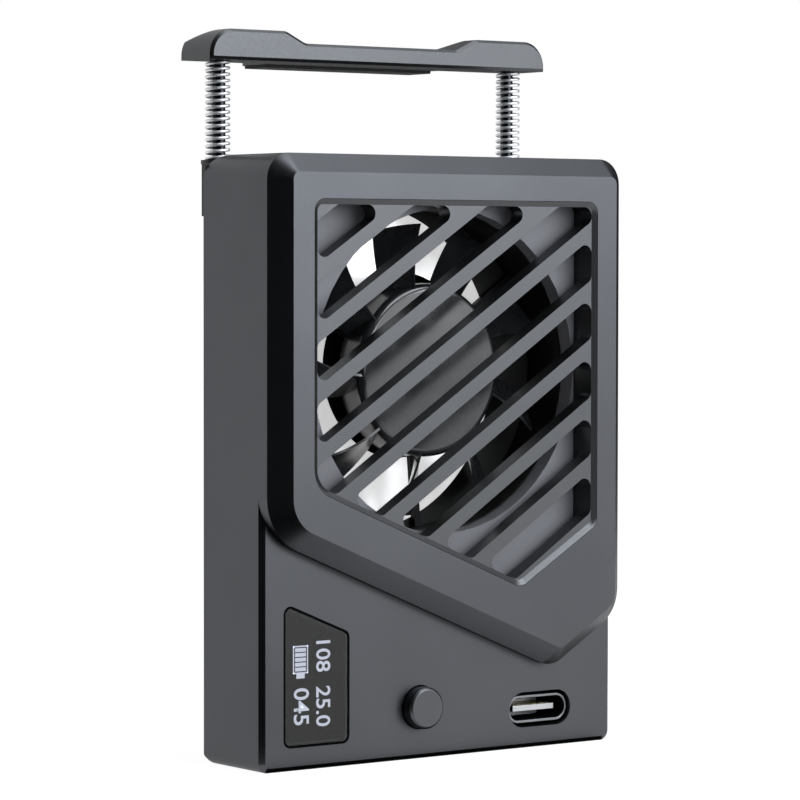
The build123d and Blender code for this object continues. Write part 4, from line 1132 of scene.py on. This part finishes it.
@dataclass
class ChargingSocket:
    """Oblong steel socket with a tongue that carries its contacts."""

    edge: float = 0.06 * MM
    shell_wall: float = 0.31 * MM
    painted_shade_liner_t: float = 0.08 * MM
    painted_shade_liner_front: float = 0.35 * MM
    painted_shade_liner_back: float = 0.1 * MM
    contacts: int = 12
    contact_w: float = 0.25 * MM
    contact_t: float = 0.03 * MM
    contact_bevel: float = 0.01 * MM
    contact_pitch: float = 0.44 * MM
    contact_reach: tuple[float, float] = (0.5 * MM, 2.6 * MM)
    tongue_half: float = 0.35 * MM

    def build(self) -> None:
        """Dresses the shell and builds the contacts on the tongue."""
        dress("usb_shell", SOCKET_STEEL, self.edge)
        dress("usb_tongue", TONGUE_STEEL, self.edge)
        self.painted_shade_liner()
        self.contact_rows()

    def painted_shade_liner(self) -> None:
        """Black lining just inside the shell: walls, rim and floor, a little behind the shell's rim, that
        paints the shade of the socket's inside.
        """
        low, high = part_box("usb_shell")
        x, z = (low.x + high.x) / 2, (low.z + high.z) / 2
        radius, reach = (high.z - low.z) / 2 - self.shell_wall, (high.x - low.x) / 2 - self.shell_wall
        square = [(x + reach * right, z + radius * up) for right, up in SQUARE]
        corner_r = radius * 0.999
        outer = Shaper.rounded(square, corner_r)
        inner = Shaper.rounded(Shaper.inset(square, self.painted_shade_liner_t), corner_r - self.painted_shade_liner_t)
        near, far = low.y + self.painted_shade_liner_front, high.y - self.painted_shade_liner_back
        levels = [(outer, far), (outer, near), (inner, near), (inner, far)]
        rings = [Shaper.standing(points, y) for points, y in levels]
        # Painted shade: the lining's deep black, without mirroring, stands in for the shade inside the socket.
        Shaper.piece("socket_painted_shade_liner", Shaper.strips(rings) + [rings[-1]], SHADOW_PLASTIC)

    def contact_rows(self) -> None:
        """Gilt strips on both faces of the tongue."""
        low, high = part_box("usb_tongue")
        x, z = (low.x + high.x) / 2, (low.z + high.z) / 2
        near, far = (low.y + reach for reach in self.contact_reach)
        faces = []
        for row in (-1, 1):
            place = Matrix.Translation((0, 0, z + row * self.tongue_half)) @ Matrix.Diagonal((1, 1, row, 1))
            for i in range(self.contacts):
                left = x + (i - (self.contacts - 1) / 2) * self.contact_pitch - self.contact_w / 2
                right = left + self.contact_w
                outline = [(left, near), (right, near), (right, far), (left, far)]
                faces += Shaper.plate(outline, place, self.contact_t, self.contact_bevel)
        Shaper.piece("socket_contacts", faces, CONTACT_GOLD)


@dataclass
class Electronics:
    """Main board and battery behind the lower panel."""

    pouch_edge: float = 0.2 * MM

    def build(self) -> None:
        """Dresses the board, its screws and the cell."""
        dress("main_board", BOARD)
        dress("board_screws", SCREW_STEEL)
        dress("battery", CELL_FOIL, self.pouch_edge)


@dataclass(frozen=True)
class Softbox:
    """Large soft lamp: direction and distance from the object, size of its face, and power in watts."""

    name: str
    towards: Place
    away: float
    width: float
    height: float
    power: float
    colour: Colour = (0.90, 0.95, 1.0)

    def build(self, target: Place) -> None:
        """Hangs the lamp.

        Args:
            target: Point that it shines at.
        """
        light = bpy.data.lights.new(self.name, "AREA")
        light.shape = "RECTANGLE"
        light.size = self.width
        light.size_y = self.height
        light.energy = self.power
        light.color = self.colour
        lamp = show(self.name, light)
        aim = Vector(target)
        lamp.location = aim + Vector(self.towards).normalized() * self.away
        lamp.rotation_euler = (aim - lamp.location).to_track_quat("-Z", "Y").to_euler()


@dataclass(frozen=True)
class Card:
    """Black card that darkens what mirrors it, and that no view shows.

    Its azimuth runs from the front towards the right, and it reaches outwards and upwards from
    where it stands.
    """

    name: str
    azimuth: float
    away: float
    half_width: float
    outwards: float = 0.0
    upwards: float = 0.0
    lift: float = 0.05 * MM

    def build(self) -> None:
        """Sets the card up."""
        angle = math.radians(self.azimuth)
        out = Vector((math.sin(angle), -math.cos(angle), 0))
        side = Vector((out.y, -out.x, 0)) * self.half_width
        rise = out * self.outwards + Vector((0, 0, self.upwards))
        foot = out * self.away + Vector((0, 0, self.lift))
        sheet = NodeSheet(bpy.data.materials.new(f"{self.name}_black"))
        black = sheet.finish({
            "Base Color": sheet.shades(sheet.noise(5 * MM, detail=3), (0.01, 0.01, 0.01), change=0.2),
            "Roughness": 0.9,
            "Specular IOR Level": 0.0,
        })
        corners = [foot - side, foot + side, foot + side + rise, foot - side + rise]
        card = Studio.flat(self.name, corners, black)
        card.visible_camera = False
        card.visible_diffuse = False
        card.visible_shadow = False
        card.visible_transmission = False


@dataclass
class Studio:
    """Pale floor, soft lamps, dark cards and the camera at the photograph's viewing angle."""

    azimuth: float = -36.576
    look_down: float = 2.249
    roll: float = 0.084
    target: Place = (-8.663 * MM, -13.5 * MM, 41.99 * MM)
    distance: float = 415.27 * MM
    lens: float = 163.62
    sensor: float = 36.0
    clip: tuple[float, float] = (0.01, 50.0)
    floor_half: float = 4.0
    floor_z: float = -0.02 * MM
    floor_glow: float = 0.95
    world_light: float = 0.35
    lamps: tuple[Softbox, ...] = (
        Softbox("front_right_softbox", (0.38, -0.88, 0.48), away=0.34, width=0.30, height=0.30, power=1.38),
        Softbox("high_softbox", (0.42, -0.35, 1.0), away=0.55, width=0.42, height=0.42, power=1.55),
    )
    cards: tuple[Card, ...] = (
        Card("left_front_card", azimuth=-50.0, away=0.13, half_width=0.19, upwards=0.5),
        Card("low_left_card", azimuth=-50.0, away=0.03, half_width=0.05, outwards=0.15),
        Card("right_back_card", azimuth=110.0, away=0.30, half_width=0.27, upwards=0.5),
        Card("low_back_card", azimuth=143.0, away=0.07, half_width=0.06, outwards=0.18),
        # Painted shadow: this card puts the floor's contact shadow at the foot into what mirrors the floor.
        Card("foot_card", azimuth=0.0, away=-0.012, half_width=0.0247, outwards=0.025),
    )

    def build(self) -> None:
        """Sets the floor, world, lamps, cards and camera."""
        self.floor()
        self.world()
        for lamp in self.lamps:
            lamp.build(self.target)
        for card in self.cards:
            card.build()
        self.camera()
        bpy.context.scene.view_settings.view_transform = "Standard"
        LOG.info("built the studio")

    @staticmethod
    def flat(name: str, corners: Face, material: Material) -> bpy.types.Object:
        """Flat four-cornered sheet for the stage.

        Args:
            name: Its name.
            corners: Its corners in order.
            material: What it is made of.

        Returns:
            The sheet.
        """
        mesh = bpy.data.meshes.new(name)
        mesh.from_pydata(corners, [], [(0, 1, 2, 3)])
        mesh.materials.append(material)
        return show(name, mesh)

    @staticmethod
    def seen(sheet: NodeSheet) -> Socket:
        """Mask that is 1 for camera, glossy and transmission rays.

        Args:
            sheet: Node sheet of the floor or world.

        Returns:
            The mask's socket.
        """
        path = sheet.add("ShaderNodeLightPath").outputs
        mask = path["Is Camera Ray"]
        for ray in ("Is Glossy Ray", "Is Transmission Ray"):
            mask = sheet.add("ShaderNodeMath", {0: mask, 1: path[ray]}, operation="MAXIMUM").outputs[0]
        return mask

    def floor(self) -> None:
        """Wide white floor that still takes the object's shadow."""
        sheet = NodeSheet(bpy.data.materials.new("pale_floor"))
        tone = sheet.shades(sheet.noise(40 * MM, detail=3), (0.16, 0.16, 0.16), change=0.02)
        paper = sheet.add("ShaderNodeBsdfDiffuse", {"Color": tone})
        lit = sheet.add("ShaderNodeEmission", {"Color": WHITE, "Strength": self.floor_glow})
        both = sheet.add("ShaderNodeAddShader", {0: paper.outputs[0], 1: lit.outputs[0]})
        plain = sheet.add("ShaderNodeBsdfDiffuse", {"Color": (0.7, 0.7, 0.7, 1.0)})
        mix = {0: self.seen(sheet), 1: plain.outputs[0], 2: both.outputs[0]}
        half = self.floor_half
        corners = [Vector((half * x, half * y, self.floor_z)) for x, y in SQUARE]
        self.flat("studio_floor", corners, sheet.end(sheet.add("ShaderNodeMixShader", mix)))

    def world(self) -> None:
        """White background for what is seen or mirrored, and dimmer for the light that it gives."""
        world = bpy.data.worlds.new("pale_world")
        bpy.context.scene.world = world
        sheet = NodeSheet(world)
        given, seen = (sheet.add("ShaderNodeBackground", {"Color": WHITE, "Strength": strength}).outputs[0]
                       for strength in (self.world_light, 1.0))
        sheet.end(sheet.add("ShaderNodeMixShader", {0: self.seen(sheet), 1: given, 2: seen}))

    def camera(self) -> None:
        """Camera at the photograph's viewing angle."""
        turn, tilt, roll = (math.radians(v) for v in (self.azimuth, self.look_down, self.roll))
        back = Vector((math.sin(turn) * math.cos(tilt), -math.cos(turn) * math.cos(tilt), math.sin(tilt)))
        right = Vector((math.cos(turn), math.sin(turn), 0))
        up = back.cross(right)
        right, up = right * math.cos(roll) + up * math.sin(roll), up * math.cos(roll) - right * math.sin(roll)
        data = bpy.data.cameras.new("view")
        data.lens = self.lens
        data.sensor_width = self.sensor
        data.clip_start, data.clip_end = self.clip
        camera = show("view", data)
        spot = Vector(self.target) + back * self.distance
        camera.matrix_world = Matrix.Translation(spot) @ Matrix((right, up, back)).transposed().to_4x4()
        bpy.context.scene.camera = camera


def main() -> None:
    """Builds each sub-assembly in order, then the studio."""
    logging.basicConfig(level=logging.INFO, format="%(name)s: %(message)s")
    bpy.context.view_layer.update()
    for part in (Housing, Fan, CoolingStack, Clamp, Controls, Display, ChargingSocket, Electronics):
        part().build()
        LOG.info("finished %s", part.__name__)
    Studio().build()


if __name__ == "__main__":
    main()
